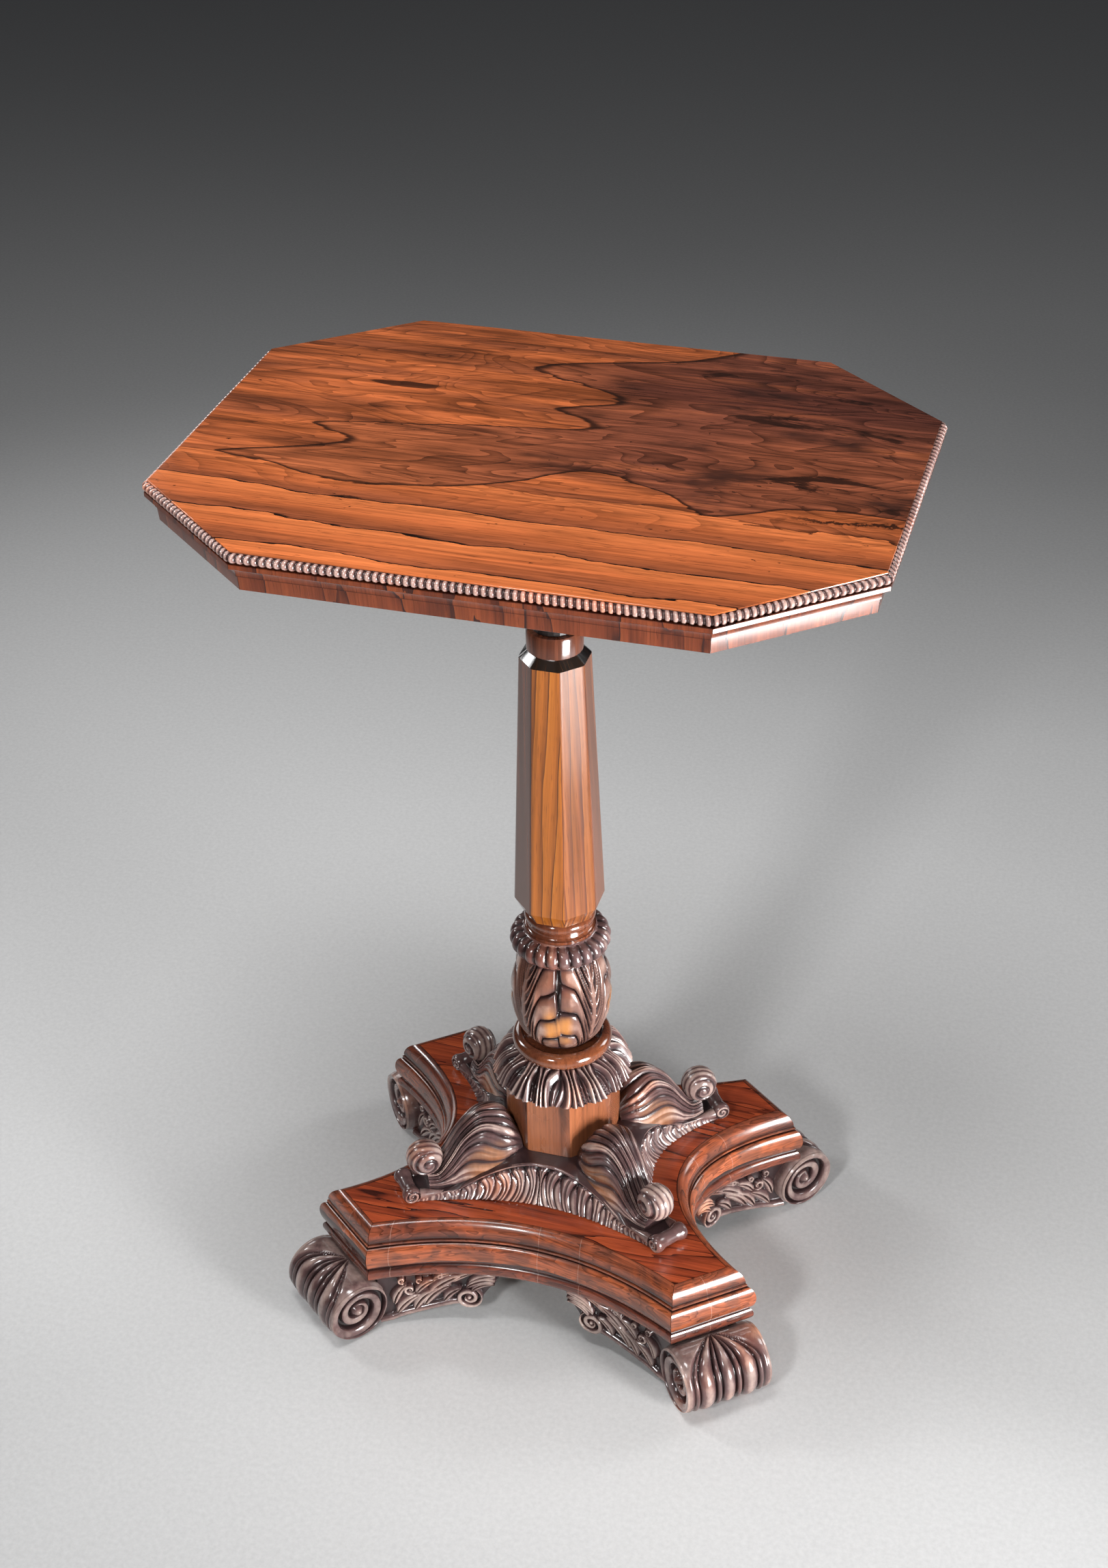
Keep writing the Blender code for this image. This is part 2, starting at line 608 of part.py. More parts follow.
def build_pillar(column_wood, turned_wood, carved_wood, plinth_wood, dark_wood):
    """Spindle, shaft, ring, collar, bulb, disc, skirt and plinth."""
    flare = [(SPINDLE_FOOT, SPINDLE_BOTTOM), (SPINDLE_FOOT, SPINDLE_BOTTOM + SPINDLE_FILLET / 2),
             (SPINDLE_WAIST, SPINDLE_BOTTOM + SPINDLE_HEIGHT * 0.2),
             (SPINDLE_WAIST, SPINDLE_BOTTOM + SPINDLE_HEIGHT * 0.5),
             (SPINDLE_FLARE * 0.55, SPINDLE_TOP - SPINDLE_HEIGHT * 0.22),
             (SPINDLE_FLARE, SPINDLE_TOP - SPINDLE_FILLET)]
    lower_end = SPINDLE_BOTTOM - SPINDLE_SOCKET_DEPTH + TENON_END
    profile = [(SPINDLE_TENON, lower_end), (SPINDLE_TENON, SPINDLE_BOTTOM)]
    profile += smooth_curve(flare, 2)
    profile += [(SPINDLE_FLARE, SPINDLE_TOP), (SPINDLE_TENON, SPINDLE_TOP)]
    profile.append((SPINDLE_TENON, BLOCK_TOP - TENON_END))
    ring_solid("top_spindle", [circle(r, z) for r, z in profile], dark_wood, True)

    socket = SPINDLE_TENON + CLEARANCE
    rings = [circle(SHAFT_TENON, SHAFT_BOTTOM - SHAFT_TENON_LENGTH, SHAFT_FACETS),
             circle(SHAFT_TENON, SHAFT_BOTTOM, SHAFT_FACETS),
             octagon_ring(SHAFT_CHAMFER_RADIUS, SHAFT_BOTTOM),
             octagon_ring(SHAFT_BOTTOM_RADIUS, SHAFT_BOTTOM + SHAFT_CHAMFER_HEIGHT),
             octagon_ring(SHAFT_TOP_RADIUS, SHOULDER_TOP - SHOULDER_HEIGHT),
             circle(NECK_RADIUS, SHOULDER_TOP, SHAFT_FACETS), circle(NECK_RADIUS, NECK_TOP, SHAFT_FACETS),
             circle(socket, NECK_TOP, SHAFT_FACETS),
             circle(socket, NECK_TOP - SPINDLE_SOCKET_DEPTH, SHAFT_FACETS)]
    ring_solid("column_shaft", rings, column_wood, True)

    bore = SHAFT_TENON + CLEARANCE
    torus = RING_HEIGHT * 0.30
    fillet = RING_HEIGHT * 0.14
    profile = [(RING_RADIUS, RING_BOTTOM), (RING_RADIUS, RING_BOTTOM + fillet)]
    profile += [(RING_NECK_RADIUS, RING_BOTTOM + 1.6 * fillet), (RING_NECK_RADIUS, RING_TOP - 2 * torus)]
    profile += arc((RING_RADIUS - torus, RING_TOP - torus), torus, torus, -60, 90, 5)
    profile += [(bore, RING_TOP), (bore, RING_BOTTOM)]
    ring_solid("ring_moulding", [circle(r, z) for r, z in profile], turned_wood, False)

    count = 2 * GADROONS
    profile = smooth_curve([(COLLAR_BOTTOM_RADIUS, COLLAR_BOTTOM),
                            (COLLAR_RADIUS * 0.97, COLLAR_BOTTOM + COLLAR_HEIGHT * 0.3),
                            (COLLAR_RADIUS, COLLAR_BOTTOM + COLLAR_HEIGHT * 0.6),
                            (COLLAR_TOP_RADIUS, COLLAR_TOP)], 2)
    rings = []
    for index, (radius, z) in enumerate(profile):
        depth = GADROON_DEPTH * math.sin(math.pi * index / (len(profile) - 1))
        ring = []
        for i in range(count):
            angle = 2 * math.pi * i / count
            reach = radius - depth * (i % 2)
            ring.append((reach * math.cos(angle), reach * math.sin(angle), z))
        rings.append(ring)
    rings += [circle(bore, COLLAR_TOP, count), circle(bore, COLLAR_BOTTOM, count)]
    ring_solid("gadroon_collar", rings, carved_wood, False)

    build_bulb(carved_wood, bore)

    bore = BULB_TENON + CLEARANCE
    half = DISC_HEIGHT / 2
    profile = [(DISC_RADIUS - half, DISC_BOTTOM)]
    profile += arc((DISC_RADIUS - half, DISC_BOTTOM + half), half, half, -60, 60, 5)
    profile += [(DISC_RADIUS - half, DISC_TOP), (bore, DISC_TOP), (bore, DISC_BOTTOM)]
    ring_solid("disc_ring", [circle(r, z) for r, z in profile], turned_wood, False)

    count = 2 * SKIRT_LEAVES
    under = PLINTH_RADIUS + 4 * CLEARANCE
    profile = smooth_curve([(SKIRT_RADIUS, SKIRT_BOTTOM - SKIRT_DROOP * 0.3),
                            (SKIRT_RADIUS - SKIRT_RELIEF * 2, SKIRT_BOTTOM + SKIRT_HEIGHT * 0.3),
                            (SKIRT_TOP_RADIUS + SKIRT_DROOP, SKIRT_BOTTOM + SKIRT_HEIGHT * 0.75),
                            (SKIRT_TOP_RADIUS, SKIRT_TOP)], 2)
    rings = []
    for index, (radius, z) in enumerate(profile):
        fade = 1 - index / (len(profile) - 1)
        ring = []
        for i in range(count):
            angle = 2 * math.pi * i / count
            wave = math.cos(SKIRT_LEAVES * angle)
            reach = radius + SKIRT_RELIEF * fade * wave
            tip = z - SKIRT_DROOP * 0.7 * fade ** 4 * wave
            ring.append((reach * math.cos(angle), reach * math.sin(angle), tip))
        rings.append(ring)
    rings += [circle(bore, SKIRT_TOP, count), circle(bore, SKIRT_BOTTOM, count),
              circle(under, SKIRT_BOTTOM, count)]
    ring_solid("leaf_skirt", rings, carved_wood, False)

    rings = [octagon_ring(PLINTH_RADIUS, PLINTH_BOTTOM), octagon_ring(PLINTH_RADIUS, PLINTH_TOP),
             circle(bore, PLINTH_TOP, SHAFT_FACETS), circle(bore, PLINTH_BOTTOM, SHAFT_FACETS)]
    ring_solid("plinth_block", rings, plinth_wood, False)


def build_bulb(carved_wood, socket):
    """Carved bulb with a socket above, a long tenon below and a kerf with its wedge."""
    count = 10 * BULB_LEAVES
    profile = smooth_curve([(BULB_BOTTOM_RADIUS, BULB_BOTTOM),
                            (BULB_RADIUS * 0.9, BULB_BOTTOM + BULB_HEIGHT * 0.18),
                            (BULB_RADIUS, BULB_BOTTOM + BULB_HEIGHT * 0.46),
                            (BULB_RADIUS * 0.93, BULB_BOTTOM + BULB_HEIGHT * 0.76),
                            (BULB_TOP_RADIUS, BULB_TOP)], 2)
    tenon_end = PLATFORM_BOTTOM + CLEARANCE
    rings = [circle(BULB_TENON, tenon_end, count), circle(BULB_TENON, BULB_BOTTOM, count)]
    for index, (radius, z) in enumerate(profile):
        fade = math.sin(math.pi * index / (len(profile) - 1))
        ring = []
        for i in range(count):
            angle = 2 * math.pi * i / count
            leaf = abs(math.cos(BULB_LEAVES * (angle - BULB_TURN) / 2))
            vein = 0.3 * math.cos(4 * BULB_LEAVES * (angle - BULB_TURN))
            reach = radius + BULB_RELIEF * fade * (leaf + vein - 0.6)
            ring.append((reach * math.cos(angle), reach * math.sin(angle), z))
        rings.append(ring)
    socket_floor = SHAFT_BOTTOM - SHAFT_TENON_LENGTH - CLEARANCE
    rings += [circle(socket, BULB_TOP, count), circle(socket, socket_floor, count)]
    bulb = ring_solid("carved_bulb", rings, carved_wood, True)
    kerf = (4 * BULB_TENON, WEDGE_THICKNESS + 2 * CLEARANCE, 2 * (WEDGE_HEIGHT + CLEARANCE))
    combine(bulb, bar("kerf_cutter", kerf, (0.0, 0.0, tenon_end), carved_wood), "DIFFERENCE")
    rings = []
    for thickness, z in ((WEDGE_THICKNESS, tenon_end), (WEDGE_THICKNESS / 2, tenon_end + WEDGE_HEIGHT)):
        rings.append([(sx * WEDGE_HALF_LENGTH, sy * thickness / 2, z)
                      for sx, sy in ((-1, -1), (1, -1), (1, 1), (-1, 1))])
    ring_solid("tenon_wedge", rings, carved_wood, True)


def tier_rings(lift):
    """Rings of the tier's skin, with its upper face and sides raised by a lift."""
    foot = tier_outline()
    count = len(foot)
    bore = BULB_TENON + CLEARANCE
    middle = []
    upper = []
    for index, (x, y) in enumerate(foot):
        rise = tier_height(math.hypot(x, y) * (1 - TIER_RAKE * 0.3)) - TIER_BOTTOM
        before = foot[index - 1]
        after = foot[(index + 1) % count]
        length = math.hypot(after[0] - before[0], after[1] - before[1])
        inward = ((before[1] - after[1]) / length, (after[0] - before[0]) / length)
        fade = tier_fade(index)
        wave = TIER_RELIEF * fade * (1 if index % 2 else -1)
        inset = TIER_RAKE * rise * fade
        reach = inset * 0.55 + wave
        ux = x + inward[0] * inset
        uy = y + inward[1] * inset
        top = tier_height(math.hypot(ux, uy)) + lift
        middle.append((x + inward[0] * reach, y + inward[1] * reach, (TIER_BOTTOM + top) / 2))
        upper.append((ux, uy, top))
    rings = [[(x, y, TIER_BOTTOM) for x, y in foot], middle, upper]
    for part in (0.35, 0.7):
        ring = []
        for x, y, _ in upper:
            radius = math.hypot(x, y)
            share = 1 - part * (1 - PLINTH_RADIUS / radius)
            ring.append((x * share, y * share, tier_height(radius * share) + lift))
        rings.append(ring)
    for z in (TIER_TOP + lift, TIER_BOTTOM):
        rings.append([(bore * x / math.hypot(x, y), bore * y / math.hypot(x, y), z) for x, y, _ in upper])
    return rings


def build_tier(carved_wood):
    """Leaf carved tier with a small roll at the tip of each arm."""
    tier = ring_solid("leaf_tier", tier_rings(0.0), carved_wood, False)
    for quarter in QUARTERS.values():
        tip = roll("tip_roll", quarter, TIER_TIP_REACH + TIP_ROLL_OUT, TIER_BOTTOM + TIP_ROLL_RADIUS,
                   TIP_ROLL_RADIUS, TIP_ROLL_HALF_LENGTH, carved_wood)
        combine(tier, tip, "UNION")


def build_brackets(carved_wood):
    """Leaf brackets leaning on the plinth, each ending in a ball scroll."""
    half = 2 * BRACKET_FLUTES
    start = PLINTH_RADIUS * math.cos(math.pi / 8) - 2 * BRACKET_SEAT
    span = BALL_REACH - start
    top = TIER_TOP + BRACKET_TOP
    neck = TIER_BOTTOM + TIER_TIP_HEIGHT + BRACKET_NECK
    fall = top - neck
    heights = [(0.0, top - BRACKET_RIM_DROP), (0.11, top - 0.35 * BRACKET_RIM_DROP), (0.22, top), (0.40, top),
               (0.60, top - 0.28 * fall), (0.75, top - 0.68 * fall), (0.88, neck), (1.0, neck)]
    for corner, quarter in QUARTERS.items():
        rings = []
        for step in range(BRACKET_STEPS + 1):
            t = step / BRACKET_STEPS
            reach = start + span * t
            width = BRACKET_HALF_WIDTH + (BRACKET_END_HALF_WIDTH - BRACKET_HALF_WIDTH) * t ** 0.8
            ridge = blend(heights, t)
            points = []
            for i in range(half + 1):
                angle = math.pi * i / half
                lift = math.sin(angle)
                across = width * math.cos(angle)
                floor = tier_height(math.hypot(reach, across)) - BRACKET_SEAT
                flute = BRACKET_RELIEF * (1 if i % 2 else -1) * lift
                points.append((across, floor + (ridge - floor) * lift ** 0.8 + flute))
            rings.append(arm_ring(quarter, reach, points))
        bracket = ring_solid("bracket_" + corner, rings, carved_wood, True)
        rings = []
        for step in range(BALL_STEPS):
            angle = math.pi * (step + 0.5) / BALL_STEPS
            points = []
            for i in range(HOLE_FACETS):
                turn = 2 * math.pi * i / HOLE_FACETS
                radius = BALL_RADIUS * math.sin(angle)
                centre_z = TIER_BOTTOM + BALL_LIFT
                reach = BALL_REACH + radius * math.cos(turn)
                points += arm_ring(quarter, reach, [(BALL_HALF_WIDTH * math.cos(angle),
                                                     centre_z + radius * math.sin(turn))])
            rings.append(points)
        combine(bracket, ring_solid("ball", rings, carved_wood, True), "UNION")
        flats = [octagon_ring(PLINTH_RADIUS + CLEARANCE / math.cos(math.pi / 8), z)
                 for z in (PLATFORM_BOTTOM, PLINTH_TOP + CUTTER_MARGIN)]
        combine(bracket, ring_solid("plinth_cutter", flats, carved_wood, True), "DIFFERENCE")
        combine(bracket, ring_solid("tier_cutter", tier_rings(CLEARANCE), carved_wood, False), "DIFFERENCE")


def bay_inward(source, distance):
    """Position on a hollow edge at a distance measured along it from the arm's corner."""
    position = bay_limit(source, 0.0, 0.0)
    steps = 60
    for _ in range(steps):
        x0, y0 = bay_point(source, position, 0.0)
        x1, y1 = bay_point(source, position - distance / steps, 0.0)
        position -= distance / steps * (distance / steps) / math.hypot(x1 - x0, y1 - y0)
    return position


def arm_lean():
    """Sideways drift of an arm's middle line for each unit of way inward from its end."""
    fx, fy = bay_point("front", bay_inward("front", FOOT_BLOCK_REACH), 0.0)
    sx, sy = bay_point("right", bay_inward("right", FOOT_BLOCK_REACH), 0.0)
    dx = (fx + sx) / 2 - ARM_MIDDLE[0]
    dy = (abs(fy) + abs(sy)) / 2 - ARM_MIDDLE[1]
    return (dx * ARM_OUT[1] - dy * ARM_OUT[0]) / (dx * ARM_OUT[0] + dy * ARM_OUT[1])


def foot_point(quarter, along, out, z):
    """Point in the frame of an arm's end: along the end, outward from it, and up."""
    sx, sy = quarter
    along += arm_lean() * min(0.0, out + FOOT_LEAN_START)
    x = ARM_MIDDLE[0] + along * ARM_OUT[1] + out * ARM_OUT[0]
    y = ARM_MIDDLE[1] - along * ARM_OUT[0] + out * ARM_OUT[1]
    return (sx * x, sy * y, z)


def build_platform(veneer_wood, moulding_wood, core):
    """Board, veneer and mouldings of the platform."""
    profile = platform_profile()
    board = prism("platform_board", platform_outline(-MOULDING_DEPTH - CLEARANCE), PLATFORM_BOTTOM,
                  PLATFORM_BOARD_TOP, core)
    veneer = prism("platform_veneer", platform_outline(-THUMB_WIDTH - CLEARANCE), PLATFORM_TOP - VENEER,
                   PLATFORM_TOP, veneer_wood)
    bore = BULB_TENON + CLEARANCE
    for piece, low, high in ((board, PLATFORM_BOTTOM, PLATFORM_BOARD_TOP),
                             (veneer, PLATFORM_TOP - VENEER, PLATFORM_TOP)):
        hole = drum("hole_cutter", bore, low - CUTTER_MARGIN, high + CUTTER_MARGIN, core)
        combine(piece, hole, "DIFFERENCE")
    for quarter in QUARTERS.values():
        x, y, _ = foot_point(quarter, 0.0, -FOOT_DOWEL_IN, 0.0)
        hole = drum("hole_cutter", FOOT_DOWEL_RADIUS + CLEARANCE, PLATFORM_BOTTOM - CUTTER_MARGIN,
                    FOOT_HEIGHT + FOOT_DOWEL_LENGTH + CLEARANCE, core, HOLE_FACETS, (x, y))
        combine(board, hole, "DIFFERENCE")
    for side in ("front", "right", "back", "left"):
        side_strip("side_moulding_" + side, side, profile, moulding_wood)
    for corner, quarter in QUARTERS.items():
        end_strip("end_moulding_" + corner, quarter, profile, moulding_wood)


def foot_roll_rings(quarter, radius):
    """Rings of a lobed scroll lying across an arm's end, with a stepped eye on both ends."""
    face = FOOT_ROLL_HALF_LENGTH
    rows = 2 * FOOT_LOBES
    eye = [(face + FOOT_EYE_PROUD, FOOT_EYE_RADIUS * 0.5), (face + FOOT_EYE_PROUD * 0.6, FOOT_EYE_RADIUS),
           (face, FOOT_EYE_RADIUS)]
    stations = [(-along, reach) for along, reach in eye]
    for row in range(rows + 1):
        groove = row % 2 == 0 and 0 < row < rows
        stations.append((face * (2 * row / rows - 1), radius - (FOOT_LOBE_DEPTH if groove else 0.0)))
    stations += reversed(eye)
    rings = []
    for along, reach in stations:
        ring = []
        for i in range(FOOT_FACETS):
            angle = 2 * math.pi * i / FOOT_FACETS
            out = FOOT_ROLL_OUT + reach * math.cos(angle)
            ring.append(foot_point(quarter, along, out, radius - FOOT_SOLE_CUT + reach * math.sin(angle)))
        rings.append(ring)
    return rings


def build_feet(carved_wood):
    """Lobed scroll feet with flat soles, each with a block and dowel under the arm and two wings."""
    radius = (FOOT_HEIGHT - CLEARANCE + FOOT_SOLE_CUT) / 2
    for corner, quarter in QUARTERS.items():
        foot = ring_solid("scroll_foot_" + corner, foot_roll_rings(quarter, radius), carved_wood, True)
        side_profile = [(FOOT_ROLL_OUT, FOOT_BLOCK_TOE), (FOOT_ROLL_OUT, FOOT_HEIGHT),
                        (-FOOT_LEAN_START, FOOT_HEIGHT), (-FOOT_BLOCK_REACH, FOOT_HEIGHT),
                        (-FOOT_BLOCK_REACH, FOOT_HEIGHT * 0.7), (-FOOT_LEAN_START, FOOT_HEIGHT * 0.25)]
        rings = [[foot_point(quarter, along, out, z) for out, z in side_profile]
                 for along in (-FOOT_BLOCK_HALF_WIDTH, FOOT_BLOCK_HALF_WIDTH)]
        combine(foot, ring_solid("foot_block", rings, carved_wood, True), "UNION")
        x, y, _ = foot_point(quarter, 0.0, -FOOT_DOWEL_IN, 0.0)
        dowel = drum("dowel", FOOT_DOWEL_RADIUS, FOOT_HEIGHT - CUTTER_MARGIN, FOOT_HEIGHT + FOOT_DOWEL_LENGTH,
                     carved_wood, HOLE_FACETS, (x, y))
        combine(foot, dowel, "UNION")
        x, y, _ = foot_point(quarter, 0.0, FOOT_ROLL_OUT, 0.0)
        floor_size = (4 * FOOT_ROLL_HALF_LENGTH, 4 * FOOT_ROLL_HALF_LENGTH, 2 * CUTTER_MARGIN)
        floor = bar("floor_cutter", floor_size, (x, y, -CUTTER_MARGIN), carved_wood)
        combine(foot, floor, "DIFFERENCE")
        for side, source in (("long_side", "front"), ("short_side", "right")):
            foot_wing("foot_wing_" + corner + "_" + side, quarter, source, carved_wood)


def foot_wing(name, quarter, source, material):
    """Carved strip under a hollow edge, running inward from a scroll foot to a leaf tip."""
    sx, sy = quarter
    neck = (WING_SCROLL + WING_TIP) / 2
    heights = [(0.0, WING_LOW), (0.5, WING_SCROLL + WING_LOW / 2), (0.62, WING_SCROLL), (0.76, WING_SCROLL),
               (0.86, neck), (1.0, WING_TIP)]
    rings = []
    for step in range(WING_STEPS + 1):
        t = step / WING_STEPS
        position = bay_inward(source, WING_START + WING_LENGTH * t)
        low = blend(heights, t)
        ring = []
        for offset, z in ((-WING_OUTER, low), (-WING_OUTER, FOOT_HEIGHT),
                          (-WING_OUTER - WING_THICKNESS, FOOT_HEIGHT), (-WING_OUTER - WING_THICKNESS, low)):
            x, y = bay_point(source, position, offset)
            ring.append((sx * abs(x), sy * abs(y), z))
        rings.append(ring)
    ring_solid(name, rings, material, True)


def main():
    """Clear the scene and build every piece."""
    for thing in list(bpy.data.objects):
        bpy.data.objects.remove(thing, do_unlink=True)
    top_wood = new_material("top_rosewood", (0.29, 0.105, 0.045), 0.16)
    bead_wood = new_material("bead_rosewood", (0.15, 0.070, 0.055), 0.22)
    edge_wood = new_material("edge_rosewood", (0.30, 0.110, 0.040), 0.22)
    column_wood = new_material("column_rosewood", (0.24, 0.105, 0.055), 0.18)
    turned_wood = new_material("turned_rosewood", (0.22, 0.080, 0.040), 0.20)
    carved_wood = new_material("carved_rosewood", (0.13, 0.065, 0.045), 0.28)
    plinth_wood = new_material("plinth_rosewood", (0.30, 0.135, 0.070), 0.24)
    platform_wood = new_material("platform_rosewood", (0.30, 0.070, 0.030), 0.22)
    moulding_wood = new_material("moulding_rosewood", (0.22, 0.085, 0.050), 0.18)
    dark_wood = new_material("dark_wood", (0.015, 0.011, 0.010), 0.35)
    core = new_material("core_wood", (0.26, 0.150, 0.085), 0.60)
    iron = new_material("screw_iron", (0.25, 0.24, 0.23), 0.45, 1.0)
    build_top(top_wood, bead_wood, edge_wood, core, iron)
    build_pillar(column_wood, turned_wood, carved_wood, plinth_wood, dark_wood)
    build_tier(carved_wood)
    build_brackets(carved_wood)
    build_platform(platform_wood, moulding_wood, core)
    build_feet(carved_wood)


main()
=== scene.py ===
"""Visual model of the wine table: carved and polished rosewood, studio light and camera."""
import json
import math

import bmesh
import bpy
import numpy as np
from mathutils import Matrix, Vector


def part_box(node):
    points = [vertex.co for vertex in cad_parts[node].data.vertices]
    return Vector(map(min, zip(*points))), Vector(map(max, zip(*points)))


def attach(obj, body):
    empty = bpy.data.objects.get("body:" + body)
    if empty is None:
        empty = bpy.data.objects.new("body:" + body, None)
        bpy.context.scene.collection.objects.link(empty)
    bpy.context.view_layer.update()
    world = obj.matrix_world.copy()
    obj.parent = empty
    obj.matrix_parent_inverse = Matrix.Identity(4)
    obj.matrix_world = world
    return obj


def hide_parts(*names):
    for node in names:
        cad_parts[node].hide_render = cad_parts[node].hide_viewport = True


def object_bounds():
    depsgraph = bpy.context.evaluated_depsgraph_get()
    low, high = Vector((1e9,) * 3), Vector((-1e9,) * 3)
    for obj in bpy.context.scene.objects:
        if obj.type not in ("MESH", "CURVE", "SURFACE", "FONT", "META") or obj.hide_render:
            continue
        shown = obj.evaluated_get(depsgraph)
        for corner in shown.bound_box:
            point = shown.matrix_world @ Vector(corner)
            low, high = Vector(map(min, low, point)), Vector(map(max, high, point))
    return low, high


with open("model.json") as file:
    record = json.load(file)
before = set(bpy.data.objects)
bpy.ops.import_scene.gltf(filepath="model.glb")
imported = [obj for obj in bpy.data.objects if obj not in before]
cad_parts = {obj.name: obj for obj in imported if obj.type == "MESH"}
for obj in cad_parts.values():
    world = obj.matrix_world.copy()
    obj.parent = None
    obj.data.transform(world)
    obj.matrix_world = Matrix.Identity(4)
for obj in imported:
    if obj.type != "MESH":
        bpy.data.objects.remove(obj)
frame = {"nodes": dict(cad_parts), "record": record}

CAD_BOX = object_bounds()
PI = math.pi
GAP = 0.0003
SIDES = ("front", "right", "back", "left")
QUARTERS = {"front_right": (1, -1), "back_right": (1, 1), "back_left": (-1, 1), "front_left": (-1, -1)}

# Camera of the photograph
CAMERA_AZIMUTH = math.radians(17.04)
CAMERA_ELEVATION = math.radians(34.25)
CAMERA_ROLL = math.radians(-1.144)
CAMERA_DISTANCE = 1.707
CAMERA_TARGET = Vector((-0.0027, 0.0, 0.4662))
FRAME_HEIGHT = 2296
FOCAL_PIXELS = 3429.5
SENSOR = 36.0

# Top: bead strips, edge mouldings and sheet
BEAD_PITCH = 0.0050
BEAD_SAMPLES = 16
BEAD_SHARE = 0.74
BEAD_WAIST = 0.62
REEL_WAIST = 0.78
BEAD_WIDTH = 0.0066
BEAD_AXIS = BEAD_WIDTH * 0.62
BEAD_SWELL_AXIS = BEAD_WIDTH * 0.66
SHEET_INSET = 0.0040
SHEET_HEIGHT = 0.0010
SHEET_ROUND = 0.0005
SHEET_BAND = 0.0500
EDGE_WIDTH = 0.0220
EDGE_SETBACK = 0.0012
EDGE_FILLET = 0.0036
EDGE_COVE_DEPTH = 0.0056
EDGE_COVE_HEIGHT = 0.0066
EDGE_COVE_STEPS = 12
EDGE_QUIRK = 0.0010
EDGE_TAPER = 0.0008
EDGE_CHAMFER = 0.0003
EDGE_ROUND = 0.0004
EDGE_ROWS = 9
EDGE_NAMES = ("front", "front_right", "right", "back_right", "back", "back_left", "left", "front_left")

# Surfaces
BUMP_DEPTH = 0.0006
COAT_ROUGHNESS = 0.09
WOOD_IOR = 1.45
POLISH_IOR = 1.52

# Figure of the top: near edge of its dark heart as (x, y), left edge as (y, x), and one knot
HEART_NEAR = ((-0.25, -0.050), (-0.20, -0.060), (-0.14, -0.072), (-0.07, -0.078), (-0.01, -0.052),
              (0.04, -0.008), (0.09, -0.050), (0.125, -0.075), (0.17, -0.036), (0.25, -0.040))
HEART_LEFT = ((-0.19, -0.24), (-0.055, -0.24), (-0.022, -0.10), (0.006, -0.235), (0.036, 0.09),
              (0.062, -0.06), (0.085, 0.08), (0.125, -0.10), (0.155, 0.06), (0.19, 0.10))
KNOT_PLACE = (-0.127, 0.0755)
KNOT_HALF_SIZE = (0.028, 0.0058)

# Pillar
ROUND_STEPS = 128
FACET_POINTS = 9
CORE_RADIUS = 0.0120
SHAFT_TOP_RADIUS = 0.0262
SHAFT_BOTTOM_RADIUS = 0.0345
SHAFT_CHAMFER_RADIUS = 0.0285
SHAFT_CHAMFER_HEIGHT = 0.0115
SHOULDER_HEIGHT = 0.0060
NECK_RADIUS = 0.0204
NECK_HEIGHT = 0.0170
NECK_THROAT_RADIUS = 0.0192
NECK_LIP_RADIUS = 0.0194
NECK_ROUND = 0.0024
ARRIS_ROUND = 0.0011
RING_HOLLOW = 0.0026
DISC_DISH = 0.0026
GADROONS = 24
GADROON_SAMPLES = 14
GADROON_DEPTH = 0.0040
COLLAR_FOOT_RADIUS = 0.0312
COLLAR_NECK_RADIUS = 0.0290
COLLAR_TOP_RADIUS = 0.0275
COLLAR_LIP = 0.0010
BULB_COLUMNS = 480
BULB_FOOT_RADIUS = 0.0262
BULB_NECK_RADIUS = 0.0300
BULB_INSET = 0.0006
BULB_TURN = math.radians(-33)
BULB_DEPTH = 0.0052
BULB_STAGGER = 0.035
BULB_LOBES = 3.6
SKIRT_LEAVES = 16
SKIRT_RIBS = 4
SKIRT_RIB_SAMPLES = 12
SKIRT_DEPTH = 0.0040
SKIRT_INSET = 0.0040
SKIRT_DROOP = 0.0050
SKIRT_NECK_RADIUS = 0.0335
SKIRT_SHOULDER_RADIUS = 0.0400
SKIRT_MIDDLE_RADIUS = 0.0475
SKIRT_CURL = 0.0016
SKIRT_THICKNESS = 0.0060
SKIRT_HOLLOW = 0.0030
SKIRT_CLEARANCE = 0.0012
SKIRT_MARGIN = 0.0006

# Tier and brackets
ARM_ANGLE = math.atan2(0.11175, 0.14825)
TIER_HEIGHT = 0.0334
TIER_FRONT = 0.0690
TIER_SIDE = 0.0765
TIER_TIP_REACH = 0.1310
TIER_FALL_REACH = 0.1000
TIER_TIP_HALF_WIDTH = 0.0130
TIER_TIP_HEIGHT = 0.0075
TIER_FLAT_RADIUS = 0.0580
TIER_RAKE = 0.38
APRON_PITCH = 0.0058
APRON_SAMPLES = 10
APRON_ROWS = 36
APRON_DEPTH = 0.0042
APRON_FULL_HEIGHT = 0.0200
APRON_SAG = 0.0026
APRON_LEAN = 3.2
LEDGE_RADIUS = 0.0014
LEDGE_SWELL = 0.0030
LEDGE_SIDES = 8
LEDGE_END = 0.97
TIER_RINGS = 7
TIP_ROLL_RADIUS = 0.0074
TIP_ROLL_HALF_LENGTH = 0.0150
TIP_ROLL_REACH = 0.1340
TIP_COIL_DEPTH = 0.0014
TIP_COIL_RINGS = 22
TIP_ROLL_ROWS = 33
TIP_ROLL_SIDES = 40
BRACKET_TOP = 0.0325
BRACKET_RIM_DROP = 0.0170
BRACKET_NECK = 0.0150
BRACKET_RIM_HALF_WIDTH = 0.0195
BRACKET_HALF_WIDTH = 0.0245
BRACKET_END_HALF_WIDTH = 0.0108
BRACKET_RIBS = 12
BRACKET_DEPTH = 0.0042
BRACKET_LAP = 0.0005
BRACKET_SINK = 0.0010
BRACKET_ROWS = 110
